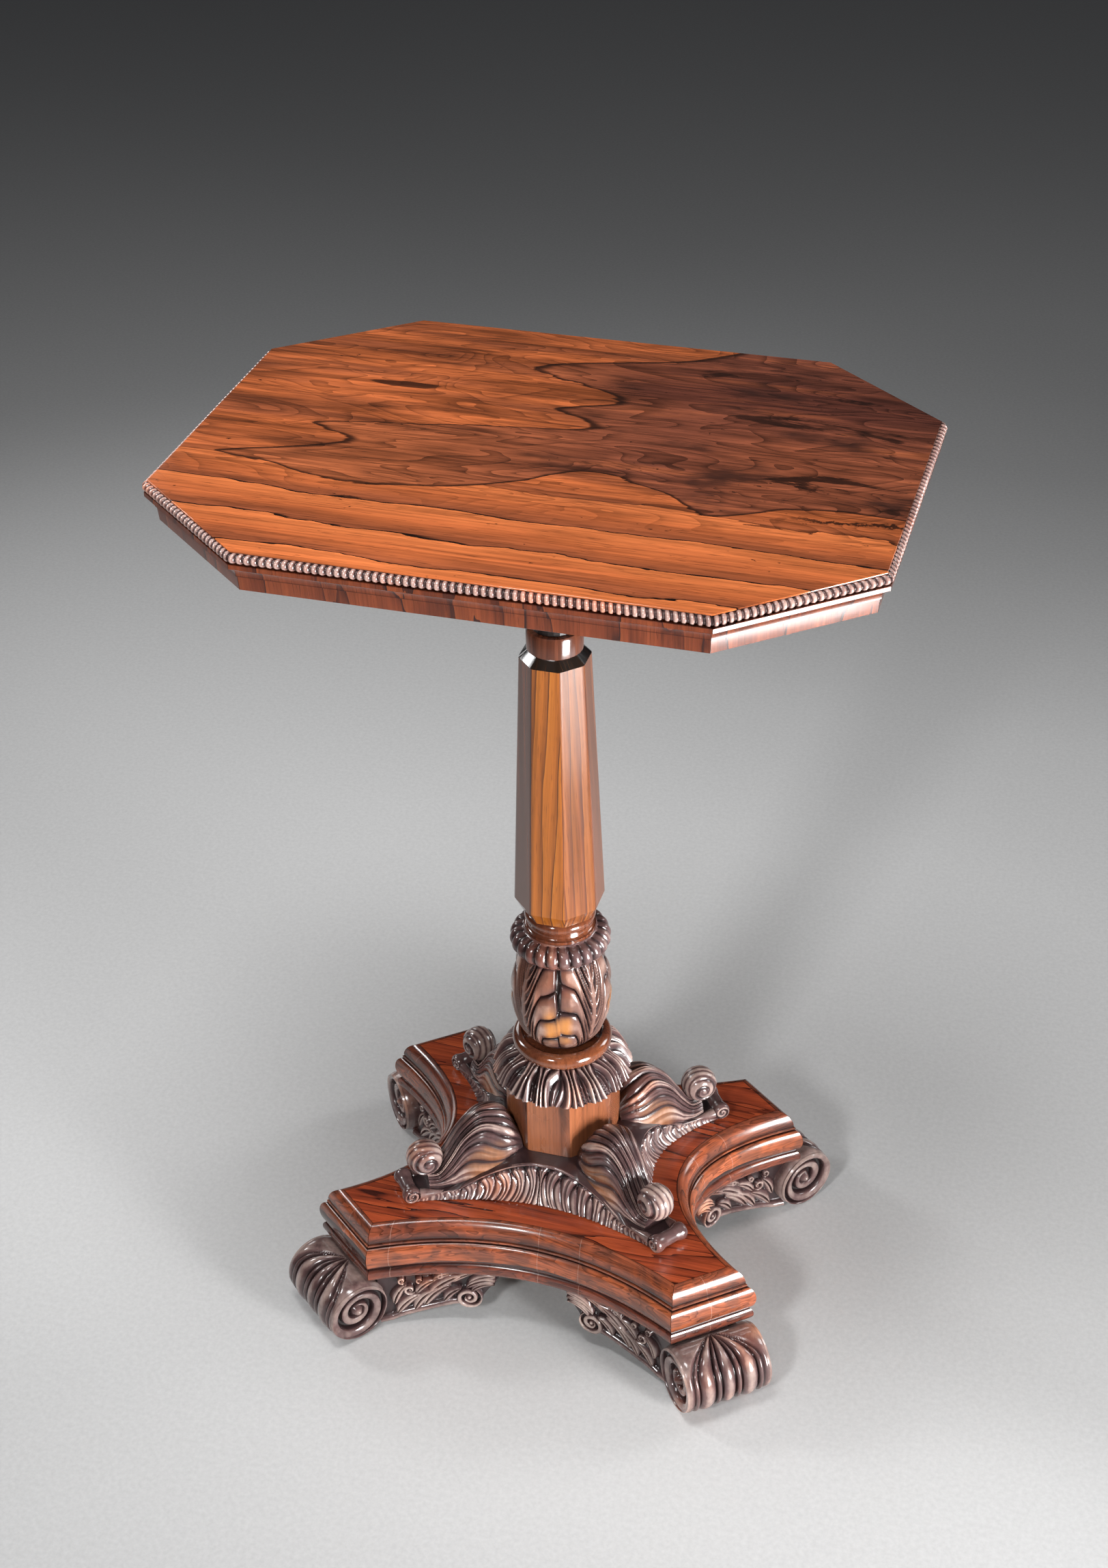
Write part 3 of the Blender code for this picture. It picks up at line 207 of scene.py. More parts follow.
BRACKET_COLUMNS = 177
BALL_RADIUS = 0.0145
BALL_HALF_WIDTH = 0.0130
BALL_REACH = 0.1185
BALL_LIFT = 0.0332
BALL_RIB_DEPTH = 0.0016
BALL_ROWS = 61
BALL_SIDES = 72

# Platform
ARM_END_X = 0.1730
ARM_SIDE_Y = 0.0915
ARM_SIDE_X = 0.1235
ARM_END_Y = 0.1320
BAY_FRONT = 0.0990
BAY_SIDE = 0.1065
BAY_STEPS = 72
MOULDING_DEPTH = 0.0160
THUMB_WIDTH = 0.0100
THUMB_HEIGHT = 0.0165
THUMB_FILLET = 0.0016
THUMB_SETBACK = 0.0006
STEP_IN = 0.0012
QUIRK_DEPTH = 0.0020
QUIRK_HEIGHT = 0.0014
OVOLO_HEIGHT = 0.0216
OVOLO_PROUD = 0.0045
LOWER_BEAD_PROUD = 0.0036
MITRE_PULL = 0.0004
END_JOINT_PLACE = 0.72
END_ROWS = 7
VENEER = 0.0012

# Feet and wings
FOOT_ROLL_OUT = 0.0135
FOOT_ROLL_HALF_LENGTH = 0.0360
FOOT_LOBE_DEPTH = 0.0046
FOOT_SOLE_CUT = 0.0004
FOOT_DISH = 0.0052
FOOT_COIL_SINK = 0.0030
FOOT_END_ROUND = 0.09
FOOT_RIM = 0.95
FOOT_APEX = math.radians(114)
FOOT_FAN = math.radians(80)
FOOT_BLOCK_HALF_WIDTH = 0.0165
FOOT_BLOCK_REACH = 0.0440
FOOT_BLOCK_TOE = 0.0060
FOOT_LEAN_START = 0.0160
FOOT_ROWS = 161
FOOT_SIDES = 128
FOOT_COIL_RINGS = 72
WING_OUTER = 0.0015
WING_THICKNESS = 0.0100
WING_START = 0.0060
WING_LENGTH = 0.0950
WING_DEPTH = 0.0075
WING_PROUD = 0.0014
WING_COLUMNS = 190
WING_ROWS = 84

# Stage
FLOOR_REACH = 40.0
FLOOR_DROP = 0.0004
TABLE_MIDDLE = (0.0, 0.0, 0.35)


def heights(node):
    """Lowest and highest z of a node."""
    low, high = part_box(node)
    return low.z, high.z


TOP_SURFACE = CAD_BOX[1].z
TOP_BOTTOM = heights("edge_moulding_front")[0]
BEAD_BOTTOM = heights("bead_moulding_front")[0]
RING_LOW, RING_HIGH = heights("ring_moulding")
SHAFT_BOTTOM = RING_HIGH + GAP
NECK_TOP = heights("column_shaft")[1]
SHOULDER_TOP = NECK_TOP - NECK_HEIGHT
COLLAR_LOW, COLLAR_HIGH = heights("gadroon_collar")
DISC_LOW, DISC_HIGH = heights("disc_ring")
BULB_LOW = DISC_HIGH + GAP
BULB_HIGH = COLLAR_LOW - GAP
SKIRT_TIP, SKIRT_HIGH = heights("leaf_skirt")
PLINTH_LOW, PLINTH_HIGH = heights("plinth_block")
PLINTH_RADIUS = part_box("plinth_block")[1].x / math.cos(PI / 8)
TIER_HIGH = PLINTH_LOW - GAP
TIER_LOW = TIER_HIGH - TIER_HEIGHT
PLATFORM_LOW, BOARD_HIGH = heights("platform_board")
PLATFORM_TOP = heights("platform_veneer")[1]
FOOT_HIGH = PLATFORM_LOW - GAP
ARM_MIDDLE = np.array(((ARM_END_X + ARM_SIDE_X) / 2, (ARM_END_Y + ARM_SIDE_Y) / 2))
ARM_EDGE = math.hypot(ARM_END_X - ARM_SIDE_X, ARM_END_Y - ARM_SIDE_Y)
ARM_OUT = np.array((ARM_END_Y - ARM_SIDE_Y, ARM_END_X - ARM_SIDE_X)) / ARM_EDGE


# Finishes

class Graph:
    """Small helper that adds shader nodes to one material and joins them."""

    def __init__(self, name):
        self.material = bpy.data.materials.new(name)
        self.material.use_nodes = True
        self.tree = self.material.node_tree
        self.shader = self.tree.nodes["Principled BSDF"]

    def put(self, socket, value):
        """Feed an input with another node's output or with a constant."""
        if isinstance(value, bpy.types.NodeSocket):
            self.tree.links.new(value, socket)
        else:
            socket.default_value = value

    def node(self, kind, inputs, output=0, **settings):
        """Add a node, set it up and return one of its outputs."""
        made = self.tree.nodes.new(kind)
        for key, value in settings.items():
            setattr(made, key, value)
        for key, value in inputs.items():
            self.put(made.inputs[key], value)
        return made.outputs[output]

    def math(self, operation, *values):
        """Arithmetic on one to three values."""
        return self.node("ShaderNodeMath", dict(enumerate(values)), operation=operation)

    def times(self, *values):
        """Product of two or more values."""
        result = values[0]
        for value in values[1:]:
            result = self.math("MULTIPLY", result, value)
        return result

    def scaled(self, value, factor, offset=0.0):
        """A value times a factor plus an offset."""
        return self.math("MULTIPLY_ADD", value, factor, offset)

    def noise(self, vector, stretch, detail=3.0, roughness=0.5, distortion=0.0):
        """Noise value at a stretched vector."""
        stretched = self.node("ShaderNodeVectorMath", {0: vector, 1: stretch}, operation="MULTIPLY")
        return self.node("ShaderNodeTexNoise", {"Vector": stretched, "Scale": 1.0, "Detail": detail,
                                                "Roughness": roughness, "Distortion": distortion})

    def ramp(self, value, stops, ease="LINEAR"):
        """Colour ramp through (position, colour) stops in order; a single number is a grey."""
        made = self.tree.nodes.new("ShaderNodeValToRGB")
        made.color_ramp.interpolation = ease
        elements = made.color_ramp.elements
        for number, (position, colour) in enumerate((stops[0], stops[-1], *stops[1:-1])):
            element = elements[number] if number < 2 else elements.new(position)
            element.position = position
            rgb = (colour,) * 3 if isinstance(colour, (int, float)) else colour
            element.color = (*rgb, 1.0)
        self.put(made.inputs[0], value)
        return made.outputs[0]

    def curve(self, value, half, stops, reach):
        """Smooth curve led by (place, result) stops: places lie within half, results within reach."""
        unit = self.scaled(value, 0.5 / half, 0.5)
        stops = [(place / half / 2 + 0.5, result / reach / 2 + 0.5) for place, result in stops]
        return self.scaled(self.ramp(unit, stops, "B_SPLINE"), 2 * reach, -reach)

    def step(self, value, low, high):
        """Smooth rise from 0 at one value to 1 at another; a fall if the first one is higher."""
        return self.node("ShaderNodeMapRange", {0: value, 1: low, 2: high}, interpolation_type="SMOOTHSTEP")

    def mix(self, share, first, second, blend="MIX"):
        """Mix of two colours."""
        made = self.tree.nodes.new("ShaderNodeMix")
        made.data_type = "RGBA"
        made.blend_type = blend
        for socket, value in ((made.inputs[0], share), (made.inputs[6], first), (made.inputs[7], second)):
            self.put(socket, (*value, 1.0) if isinstance(value, tuple) else value)
        return made.outputs[2]

    def tint(self, share, colour, by):
        """A colour multiplied by another one, as far as a share says."""
        return self.mix(share, colour, by, "MULTIPLY")

    def place(self, attribute=None):
        """Surface position: the object's own, or a stored vector that follows the grain."""
        if attribute is None:
            return self.node("ShaderNodeTexCoord", {}, 3)
        return self.node("ShaderNodeAttribute", {}, 1, attribute_name=attribute)

    def value(self, attribute):
        """Stored number of the surface."""
        return self.node("ShaderNodeAttribute", {}, 2, attribute_name=attribute)

    def axis(self, vector, index):
        """One coordinate of a vector."""
        return self.node("ShaderNodeSeparateXYZ", {0: vector}, index)

    def finish(self, colour, roughness, bump, strength, coat):
        """Join colour, roughness and bump to the shader and set its polish."""
        normal = self.node("ShaderNodeBump", {"Strength": strength, "Distance": BUMP_DEPTH, "Height": bump})
        inputs = {"Base Color": colour, "Roughness": roughness, "Normal": normal, "Coat Weight": coat,
                  "Coat Roughness": COAT_ROUGHNESS, "IOR": POLISH_IOR if coat else WOOD_IOR}
        for key, value in inputs.items():
            self.put(self.shader.inputs[key], value)
        return self.material


def polish(graph, place, colour, ink, gloss, coat):
    """Lay streaks and open pores along local x, uneven gloss and a light bump over a figured colour."""
    streak = graph.noise(place, (9.0, 420.0, 420.0), 4.0, 0.6)
    pores = graph.step(graph.noise(place, (60.0, 1500.0, 1500.0), 1.0), 0.62, 0.72)
    colour = graph.tint(0.75, colour, graph.ramp(streak, ((0.3, 0.50), (0.7, 1.22))))
    colour = graph.mix(graph.times(pores, 0.55), colour, ink)
    patches = graph.noise(place, (14.0, 30.0, 30.0), 3.0)
    relief = graph.math("SUBTRACT", graph.times(streak, 0.4), pores)
    return graph.finish(colour, graph.scaled(patches, 0.12, gloss - 0.05), relief, 0.08, coat)


def rosewood(name, palette, attribute=None, bands=2.0, drift=18.0, stretch=3.0, gloss=0.18, coat=0.5,
             turn=(0.0, 0.0, 0.0), narrow=5.0, shade=None, painted_recess_shade=False):
    """Polished rosewood whose saw-toothed ink lines run along local x."""
    graph = Graph(name)
    light, middle, dark, ink = palette
    place = graph.place(attribute)
    place = graph.node("ShaderNodeVectorRotate", {0: place, 4: turn}, rotation_type="EULER_XYZ")
    broad = graph.noise(place, (stretch, stretch * narrow, stretch * narrow), 3.0, 0.45, 0.5)
    field = graph.math("ADD", graph.times(broad, bands), graph.times(graph.axis(place, 1), drift))
    saw = graph.math("FRACT", field)
    colour = graph.ramp(saw, ((0.0, light), (0.45, middle), (0.86, dark), (0.95, ink), (1.0, ink)))
    tone = graph.noise(place, (4.0, 22.0, 22.0), 2.0, 0.5)
    colour = graph.mix(graph.step(tone, 0.42, 0.68), colour, graph.mix(0.6, colour, dark))
    if shade is not None:
        colour = shade(graph, colour)
    # Painted shade: colour runs towards ink where the stored relief is low, in quirks, coves and valleys.
    if painted_recess_shade:
        colour = graph.mix(graph.scaled(graph.value("relief"), -0.9, 0.9), colour, ink)
    return polish(graph, place, colour, ink, gloss, coat)


def carved(name, palette, coat=0.5):
    """Carved rosewood: painted shade in the hollows, a pale ridge colour that is partly wear and partly
    painted highlight, golden where the surface says so.
    """
    graph = Graph(name)
    hollow, low, high, wear_and_highlight = palette
    place = graph.place()
    relief = graph.value("relief")
    wear = graph.noise(place, (38.0, 38.0, 38.0), 4.0, 0.6)
    level = graph.math("ADD", relief, graph.scaled(wear, 0.5, -0.27))
    # Stored relief picks the colour: the hollow colour is painted shade, the last colour is wear with a
    # painted highlight.
    colour = graph.ramp(level, ((0.10, hollow), (0.46, low), (0.80, high), (1.0, wear_and_highlight)))
    warm = graph.step(graph.noise(place, (16.0, 16.0, 16.0), 2.0), 0.52, 0.74)
    colour = graph.tint(graph.times(warm, 0.7), colour, (1.9, 1.05, 0.62))
    bright = graph.times(graph.value("gold"), graph.step(level, 0.40, 0.85))
    colour = graph.mix(bright, colour, (0.50, 0.195, 0.042))
    streak = graph.noise(place, (170.0, 170.0, 26.0), 4.0, 0.6)
    colour = graph.tint(0.55, colour, graph.ramp(streak, ((0.3, 0.55), (0.7, 1.25))))
    rough = graph.math("ADD", graph.scaled(relief, -0.22, 0.38), graph.scaled(wear, 0.10, -0.03))
    scratches = graph.noise(place, (420.0, 420.0, 90.0), 3.0)
    return graph.finish(colour, rough, scratches, 0.14, coat)


def plain_wood(name, light, dark, roughness):
    """Unpolished ground wood with straight grain along x."""
    graph = Graph(name)
    place = graph.place()
    streak = graph.noise(place, (6.0, 160.0, 160.0), 5.0, 0.6)
    colour = graph.ramp(streak, ((0.3, dark), (0.7, light)))
    marks = graph.noise(place, (25.0, 60.0, 60.0), 3.0)
    return graph.finish(colour, graph.scaled(marks, 0.2, roughness - 0.1), streak, 0.3, 0.0)


def old_iron(name):
    """Dull iron with specks of rust."""
    graph = Graph(name)
    rust = graph.noise(graph.place(), (700.0, 700.0, 700.0), 4.0, 0.6)
    colour = graph.ramp(rust, ((0.42, (0.16, 0.15, 0.14)), (0.62, (0.10, 0.05, 0.03))))
    graph.put(graph.shader.inputs["Metallic"], 0.9)
    return graph.finish(colour, graph.scaled(rust, 0.3, 0.35), rust, 0.3, 0.0)


class TopFigure(Graph):
    """Figure of the top: straight ink lines in front, a dark heart with long tongues behind them."""

    def __init__(self, name, palette):
        super().__init__(name)
        self.light, self.middle, self.dark, self.ink = palette
        self.spot = self.place()
        self.true_x = self.axis(self.spot, 0)
        wander = self.scaled(self.noise(self.spot, (9.0, 34.0, 0.0), 4.0, 0.55, 0.6), 0.022, -0.011)
        self.x = self.math("ADD", self.true_x, self.times(wander, 2.4))
        self.y = self.math("ADD", self.axis(self.spot, 1), wander)
        rings = self.noise(self.spot, (6.0, 24.0, 0.0), 2.0, 0.5, 0.7)
        contour = self.math("FRACT", self.times(rings, 14.0))
        self.fine = self.ramp(contour, ((0.0, 1.22), (0.70, 0.92), (1.0, 0.40)))
        self.flow = self.noise(self.spot, (5.0, 62.0, 0.0), 5.0, 0.62, 0.9)

    def patches(self, low, high, stretch, *shape):
        """Share of a patchy noise, from 0 below one of its values to 1 above another."""
        return self.step(self.noise(self.spot, stretch, *shape), low, high)

    def lines(self):
        """Ink lines in front, and plainer streaked wood behind them."""
        sway = self.noise(self.spot, (2.6, 11.0, 0.0), 3.0, 0.45, 0.4)
        line = self.math("ADD", self.scaled(self.y, -28.0, -0.10), self.times(sway, 0.6))
        saw = self.math("FRACT", self.math("ADD", line, self.times(self.x, -0.8)))
        front = self.ramp(saw, ((0.0, self.light), (0.50, self.middle), (0.955, self.dark),
                                (0.978, self.ink), (1.0, self.ink)))
        back = self.mix(self.patches(0.40, 0.62, (4.0, 30.0, 0.0), 4.0, 0.6), self.middle, self.dark)
        colour = self.mix(self.step(self.y, -0.085, -0.035), front, self.mix(0.08, back, self.light))
        colour = self.tint(self.times(self.step(self.y, -0.12, -0.05), 0.7), colour, self.fine)
        streaks = self.ramp(self.flow, ((0.35, 0.30), (0.63, 1.22)))
        return self.tint(self.scaled(self.step(self.y, -0.10, -0.03), 0.5, 0.4), colour, streaks)

    def heartwood(self):
        """Colour of the heart: warm at its left end, dark and smeared further right."""
        depth = self.step(self.true_x, -0.14, 0.12)
        tone = self.mix(depth, (0.440, 0.120, 0.044), (0.250, 0.072, 0.040))
        veins = self.times(depth, self.step(self.flow, 0.53, 0.63), 0.75)
        tone = self.mix(veins, tone, (0.400, 0.110, 0.042))
        warm = self.times(self.step(self.x, 0.05, 0.15), self.step(self.y, 0.085, 0.025), 0.6)
        tone = self.mix(warm, tone, (0.400, 0.110, 0.046))
        band = self.times(self.step(self.y, 0.085, 0.100), self.step(self.y, 0.160, 0.125),
                          self.step(self.x, -0.02, 0.04), 0.65)
        tone = self.mix(band, tone, (0.070, 0.020, 0.015))
        tone = self.tint(0.9, tone, self.fine)
        tone = self.tint(0.8, tone, self.ramp(self.flow, ((0.36, 0.36), (0.60, 1.25))))
        clouds = self.patches(0.48, 0.72, (12.0, 26.0, 0.0), 4.0, 0.6)
        tone = self.mix(self.times(clouds, self.scaled(depth, 0.6, 0.25)), tone, (0.040, 0.016, 0.012))
        smear = self.times(depth, self.patches(0.57, 0.64, (9.0, 40.0, 0.0), 5.0, 0.65, 1.0), 0.85)
        return self.mix(smear, tone, self.ink)

    def heart(self, colour):
        """Lay the heart over a colour, with a thin ink rim along its edge."""
        near = self.curve(self.x, 0.25, HEART_NEAR, 0.10)
        left = self.curve(self.y, 0.19, HEART_LEFT, 0.26)
        beyond_left = self.times(self.math("SUBTRACT", self.x, left), 0.34)
        edge = self.math("MINIMUM", self.math("SUBTRACT", self.y, near), beyond_left)
        colour = self.mix(self.step(edge, 0.0, 0.0010), colour, self.heartwood())
        rim = self.times(self.step(edge, -0.0010, 0.0), self.step(edge, 0.0036, 0.0004), 0.9)
        return self.mix(rim, colour, self.ink)

    def marks(self, colour):
        """Put one knot, one jagged vein and a few specks of ink on a colour."""
        squares = []
        for coordinate, middle, half in zip((self.x, self.y), KNOT_PLACE, KNOT_HALF_SIZE):
            share = self.scaled(coordinate, 1 / half, -middle / half)
            squares.append(self.times(share, share))
        knot = self.step(self.math("ADD", *squares), 1.0, 0.55)
        colour = self.mix(self.times(knot, 0.85), colour, self.ink)
        jag = self.scaled(self.noise(self.spot, (60.0, 60.0, 0.0), 4.0, 0.7), 0.026, -0.013)
        above = self.math("SUBTRACT", self.y, self.scaled(self.x, 0.12, -0.078))
        vein = self.step(self.math("ABSOLUTE", self.math("ADD", above, jag)), 0.0030, 0.0008)
        colour = self.mix(self.times(vein, self.step(self.true_x, 0.150, 0.195), 0.9), colour, self.ink)
        specks = self.patches(0.66, 0.72, (150.0, 260.0, 0.0), 2.0)
        groups = self.patches(0.56, 0.66, (22.0, 30.0, 0.0), 1.0)
        return self.mix(self.times(specks, groups, 0.9), colour, self.ink)


def top_rosewood(name, palette):
    """Polished sheet with the top's figure."""
    figure = TopFigure(name, palette)
    colour = figure.marks(figure.heart(figure.lines()))
    return polish(figure, figure.spot, colour, figure.ink, 0.12, 0.5)


def facet_shade(graph, colour):
    """Every facet of the column its own leaf of veneer, and a shoulder painted near-black as painted shade
    under the top.
    """
    streak = graph.noise(graph.place("grain"), (5.0, 130.0, 130.0), 3.0, 0.5)
    plain = graph.ramp(streak, ((0.3, (0.060, 0.019, 0.011)), (0.7, (0.170, 0.054, 0.028))))
    colour = graph.mix(graph.value("leaf"), plain, colour)
    # Painted shade: the shoulder under the top is mixed to near-black.
    return graph.mix(graph.value("black"), colour, (0.004, 0.003, 0.003))


def joint_shade(graph, colour):
    """Mottled cross figure and pale glue lines where the moulding's veneers meet."""
    place = graph.place("grain")
    mottle = graph.step(graph.noise(place, (45.0, 60.0, 60.0), 3.0, 0.55, 0.8), 0.38, 0.66)
    colour = graph.tint(graph.times(mottle, 0.7), colour, (2.2, 1.75, 1.2))
    wave = graph.noise(place, (16.0, 75.0, 75.0), 2.0, 0.5, 1.2)
    contour = graph.math("FRACT", graph.times(wave, 7.0))
    colour = graph.tint(0.75, colour, graph.ramp(contour, ((0.0, 1.25), (0.6, 0.95), (1.0, 0.30))))
    along = graph.axis(place, 0)
    swing = graph.math("SINE", graph.times(along, 41.0))
    turn = graph.math("FRACT", graph.math("ADD", graph.times(along, 13.0), graph.times(swing, 0.42)))
    away = graph.math("ABSOLUTE", graph.scaled(turn, 1.0, -0.5))
    return graph.mix(graph.times(graph.step(away, 0.010, 0.004), 0.26), colour, (0.60, 0.42, 0.34))


def make_materials():
    """Every finish of the table by its slot; a palette runs from light to ink, or from a hollow colour of
    painted shade to worn ridges with a painted highlight.
    """
    orange = ((0.86, 0.235, 0.070), (0.66, 0.165, 0.050), (0.32, 0.085, 0.034), (0.014, 0.006, 0.004))
    edge = ((0.265, 0.060, 0.018), (0.215, 0.046, 0.015), (0.140, 0.029, 0.010), (0.035, 0.008, 0.005))
    brown = ((0.260, 0.080, 0.038), (0.185, 0.054, 0.028), (0.105, 0.030, 0.020), (0.020, 0.007, 0.006))
    red = ((0.520, 0.098, 0.032), (0.420, 0.074, 0.025), (0.250, 0.043, 0.017), (0.050, 0.010, 0.006))
    golden = ((0.400, 0.128, 0.018), (0.340, 0.102, 0.015), (0.220, 0.064, 0.011), (0.070, 0.022, 0.007))
    block = ((0.400, 0.140, 0.058), (0.330, 0.110, 0.046), (0.220, 0.070, 0.032), (0.060, 0.020, 0.010))
    turned = ((0.240, 0.075, 0.028), (0.170, 0.048, 0.020), (0.090, 0.026, 0.014), (0.030, 0.010, 0.007))
    leaves = ((0.013, 0.007, 0.007), (0.042, 0.021, 0.022), (0.128, 0.071, 0.068), (0.490, 0.362, 0.316))
    beads = ((0.014, 0.007, 0.008), (0.130, 0.066, 0.060), (0.340, 0.190, 0.165), (0.62, 0.400, 0.340))
    upright = (0.0, PI / 2, 0.0)
    return {
        "top_rosewood": top_rosewood("polished_top", orange),
        "edge_rosewood": rosewood("crossbanded_edge", edge, "grain", bands=3.2, drift=22.0, stretch=9.0,
                                  gloss=0.12, coat=0.25, painted_recess_shade=True),
        "bead_rosewood": carved("polished_bead", beads, 0.6),
        "column_rosewood": rosewood("column_veneer", golden, "grain", bands=2.2, drift=120.0, stretch=4.0,
                                    coat=0.3, narrow=9.0, shade=facet_shade),
        "turned_rosewood": rosewood("turned_rings", turned, bands=1.2, drift=9.0, stretch=8.0,
                                    gloss=0.13, coat=0.8, turn=upright),
        "carved_rosewood": carved("carved_leaves", leaves),
        "plinth_rosewood": rosewood("plinth_veneer", block, "grain", bands=1.4, drift=12.0, stretch=6.0,
                                    gloss=0.26, coat=0.3),
        "platform_rosewood": rosewood("platform_veneer_red", red, "grain", bands=5.0, drift=14.0, stretch=6.0,
                                      gloss=0.20, coat=0.25, narrow=9.0),
        "moulding_rosewood": rosewood("moulding_veneer", brown, "grain", bands=1.0, drift=14.0, stretch=4.0,
                                      gloss=0.23, coat=0.4, shade=joint_shade, painted_recess_shade=True),
        # Near-black plain wood: painted shade for the parts in the dark gap under the top.
        "dark_wood": plain_wood("blackened_wood", (0.016, 0.011, 0.010), (0.006, 0.004, 0.004), 0.40),
        "core_wood": plain_wood("ground_wood", (0.30, 0.175, 0.095), (0.17, 0.090, 0.050), 0.62),
        "screw_iron": old_iron("dull_iron"),
    }


MATERIALS = make_materials()


# Mesh helpers

class Shell:
    """Points, faces and stored surface values of one piece, gathered grid by grid."""

    def __init__(self):
        self.points = []
        self.faces = []
        self.values = {}
        self.count = 0

    def add(self, grid, wrap_columns=True, wrap_rows=False, caps=False, **values):
        """Add a grid of points with its quads; wrapping closes it, caps fill its first and last row."""
        rows, columns = grid.shape[:2]
        index = np.arange(rows * columns).reshape(rows, columns) + self.count
        if caps:
            self.faces.append(index[0][::-1].tolist())
            self.faces.append(index[-1].tolist())
        if wrap_rows:
            index = np.vstack((index, index[:1]))
        if wrap_columns:
            index = np.hstack((index, index[:, :1]))
        quads = np.stack((index[:-1, :-1], index[:-1, 1:], index[1:, 1:], index[1:, :-1]), axis=-1)
        self.faces += quads.reshape(-1, 4).tolist()
        self.points.append(grid.reshape(-1, 3))
        for key, given in values.items():
            wanted = (rows, columns, 3 if key == "grain" else 1)
            given = np.asarray(given, float)
            spread = np.broadcast_to(given if key == "grain" else given[..., None], wanted)
            self.values.setdefault(key, []).append(spread.reshape(-1, wanted[2]))
        self.count += rows * columns

    def build(self, name, slot, node, sharp):
        """Make the object that stands for a node; only edges over the sharp angle in degrees stay sharp."""
        mesh = bpy.data.meshes.new(name)
        mesh.from_pydata(np.concatenate(self.points).tolist(), [], self.faces)
        for key, parts in self.values.items():
            values = np.concatenate(parts).astype(np.float32)
            vector = values.shape[1] == 3
            layer = mesh.attributes.new(key, "FLOAT_VECTOR" if vector else "FLOAT", "POINT")
            layer.data.foreach_set("vector" if vector else "value", values.reshape(-1))
        work = bmesh.new()
        work.from_mesh(mesh)
        bmesh.ops.recalc_face_normals(work, faces=work.faces)
        work.to_mesh(mesh)
        work.free()
        mesh.materials.append(MATERIALS[slot])
        mesh.shade_smooth()
        mesh.set_sharp_from_angle(angle=math.radians(sharp))
        piece = bpy.data.objects.new(name, mesh)
        bpy.context.scene.collection.objects.link(piece)
        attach(piece, "root")
        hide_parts(node)


def build_piece(name, slot, node, sharp, grid, **given):
    """Make a piece of one grid."""
    shell = Shell()
    shell.add(grid, **given)
    shell.build(name, slot, node, sharp)


def smooth(low, high, value):
    """Smooth rise from 0 at one value to 1 at another; a fall if the first one is higher."""
    t = np.clip((value - low) / (high - low), 0.0, 1.0)
    return t * t * (3 - 2 * t)


def dome(distance):
    """Round hump: 1 in the middle, 0 from a distance of 1 on."""
    return np.sqrt(np.clip(1 - distance ** 2, 0.0, None))


def fraction(position):
    """Fraction of the way from one whole number to the next."""
    return position - np.floor(position)


def reeds(position):
    """Row of round reeds, one for each whole step, with sharp grooves between."""
    return dome(2 * fraction(position) - 1)


def arc(centre, radius_x, radius_z, start, end, steps):
    """Points on an elliptical arc, angles in degrees."""
    angle = np.radians(np.linspace(start, end, steps + 1))
    return np.column_stack((centre[0] + radius_x * np.cos(angle), centre[1] + radius_z * np.sin(angle)))


def arch(count):
    """Relief along a convex moulding: 0 in the valleys at its ends, 1 between."""
    return np.clip(3.5 * np.sin(np.linspace(0, PI, count)), 0, 1)


def smooth_curve(points, steps):
    """Rounded line through a few points, with a set number of steps between each two."""
    points = np.asarray(points, float)
    last = len(points) - 1
    t = (np.arange(steps) / steps)[:, None]
    runs = []
    for i in range(last):
        a, b, c, d = (points[min(max(i + k, 0), last)] for k in (-1, 0, 1, 2))
        runs.append(0.5 * (2 * b + (c - a) * t + (2 * a - 5 * b + 4 * c - d) * t ** 2
                           + (3 * b - a - 3 * c + d) * t ** 3))
    return np.vstack(runs + [points[-1:]])


def read_curve(points, steps, place):
    """Second coordinate of a rounded line where its first one has a given value."""
    line = smooth_curve(points, steps)
    return np.interp(place, line[:, 0], line[:, 1])


def full_turn(steps):
    """Angles of one full turn; the first one isn't repeated at the end."""
    return np.linspace(0, 2 * PI, steps, endpoint=False)


def polar(radius, angle, z):
    """Grid of points from radius, angle and height."""
    radius, angle, z = np.broadcast_arrays(radius, angle, z)
    return np.stack((radius * np.cos(angle), radius * np.sin(angle), z), axis=-1)


def lathe(profile, steps=ROUND_STEPS):
    """Grid of a turned shape from (radius, height) pairs."""
    profile = np.asarray(profile)
    return polar(profile[:, :1], full_turn(steps), profile[:, 1:])


def lifted(flat, z):
    """Points in space from flat ones and their heights."""
    return np.concatenate((flat, np.broadcast_to(z, flat.shape[:-1])[..., None]), axis=-1)


def on_circle(flat, radius):
    """Flat points moved towards the axis or away from it, onto a circle."""
    return flat / np.linalg.norm(flat, axis=1)[:, None] * radius


def lengths(line):
    """Distance along a line of points, from its start."""
    return np.concatenate(([0], np.cumsum(np.linalg.norm(np.diff(line, axis=0), axis=1))))


# Top

def top_corners(inset):
    """Corners of the top's outline moved inward, counter-clockwise from the front edge's left end."""
    x, y = CAD_BOX[1].x, CAD_BOX[1].y
    inner_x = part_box("bead_moulding_front")[1].x
    inner_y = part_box("bead_moulding_right")[1].y
    corners = [(-inner_x, -y), (inner_x, -y), (x, -inner_y), (x, inner_y),
               (inner_x, y), (-inner_x, y), (-x, inner_y), (-x, -inner_y)]
    moved = []
    for i in range(8):
        before, here, after = (np.array(corners[(i + k) % 8]) for k in (-1, 0, 1))
        first = (here - before) / np.linalg.norm(here - before)
        second = (after - here) / np.linalg.norm(after - here)
        inward = np.array((-first[1], first[0])) + np.array((-second[1], second[0]))
        moved.append(here + inward * inset / (1 + first @ second))
    return np.array(moved)


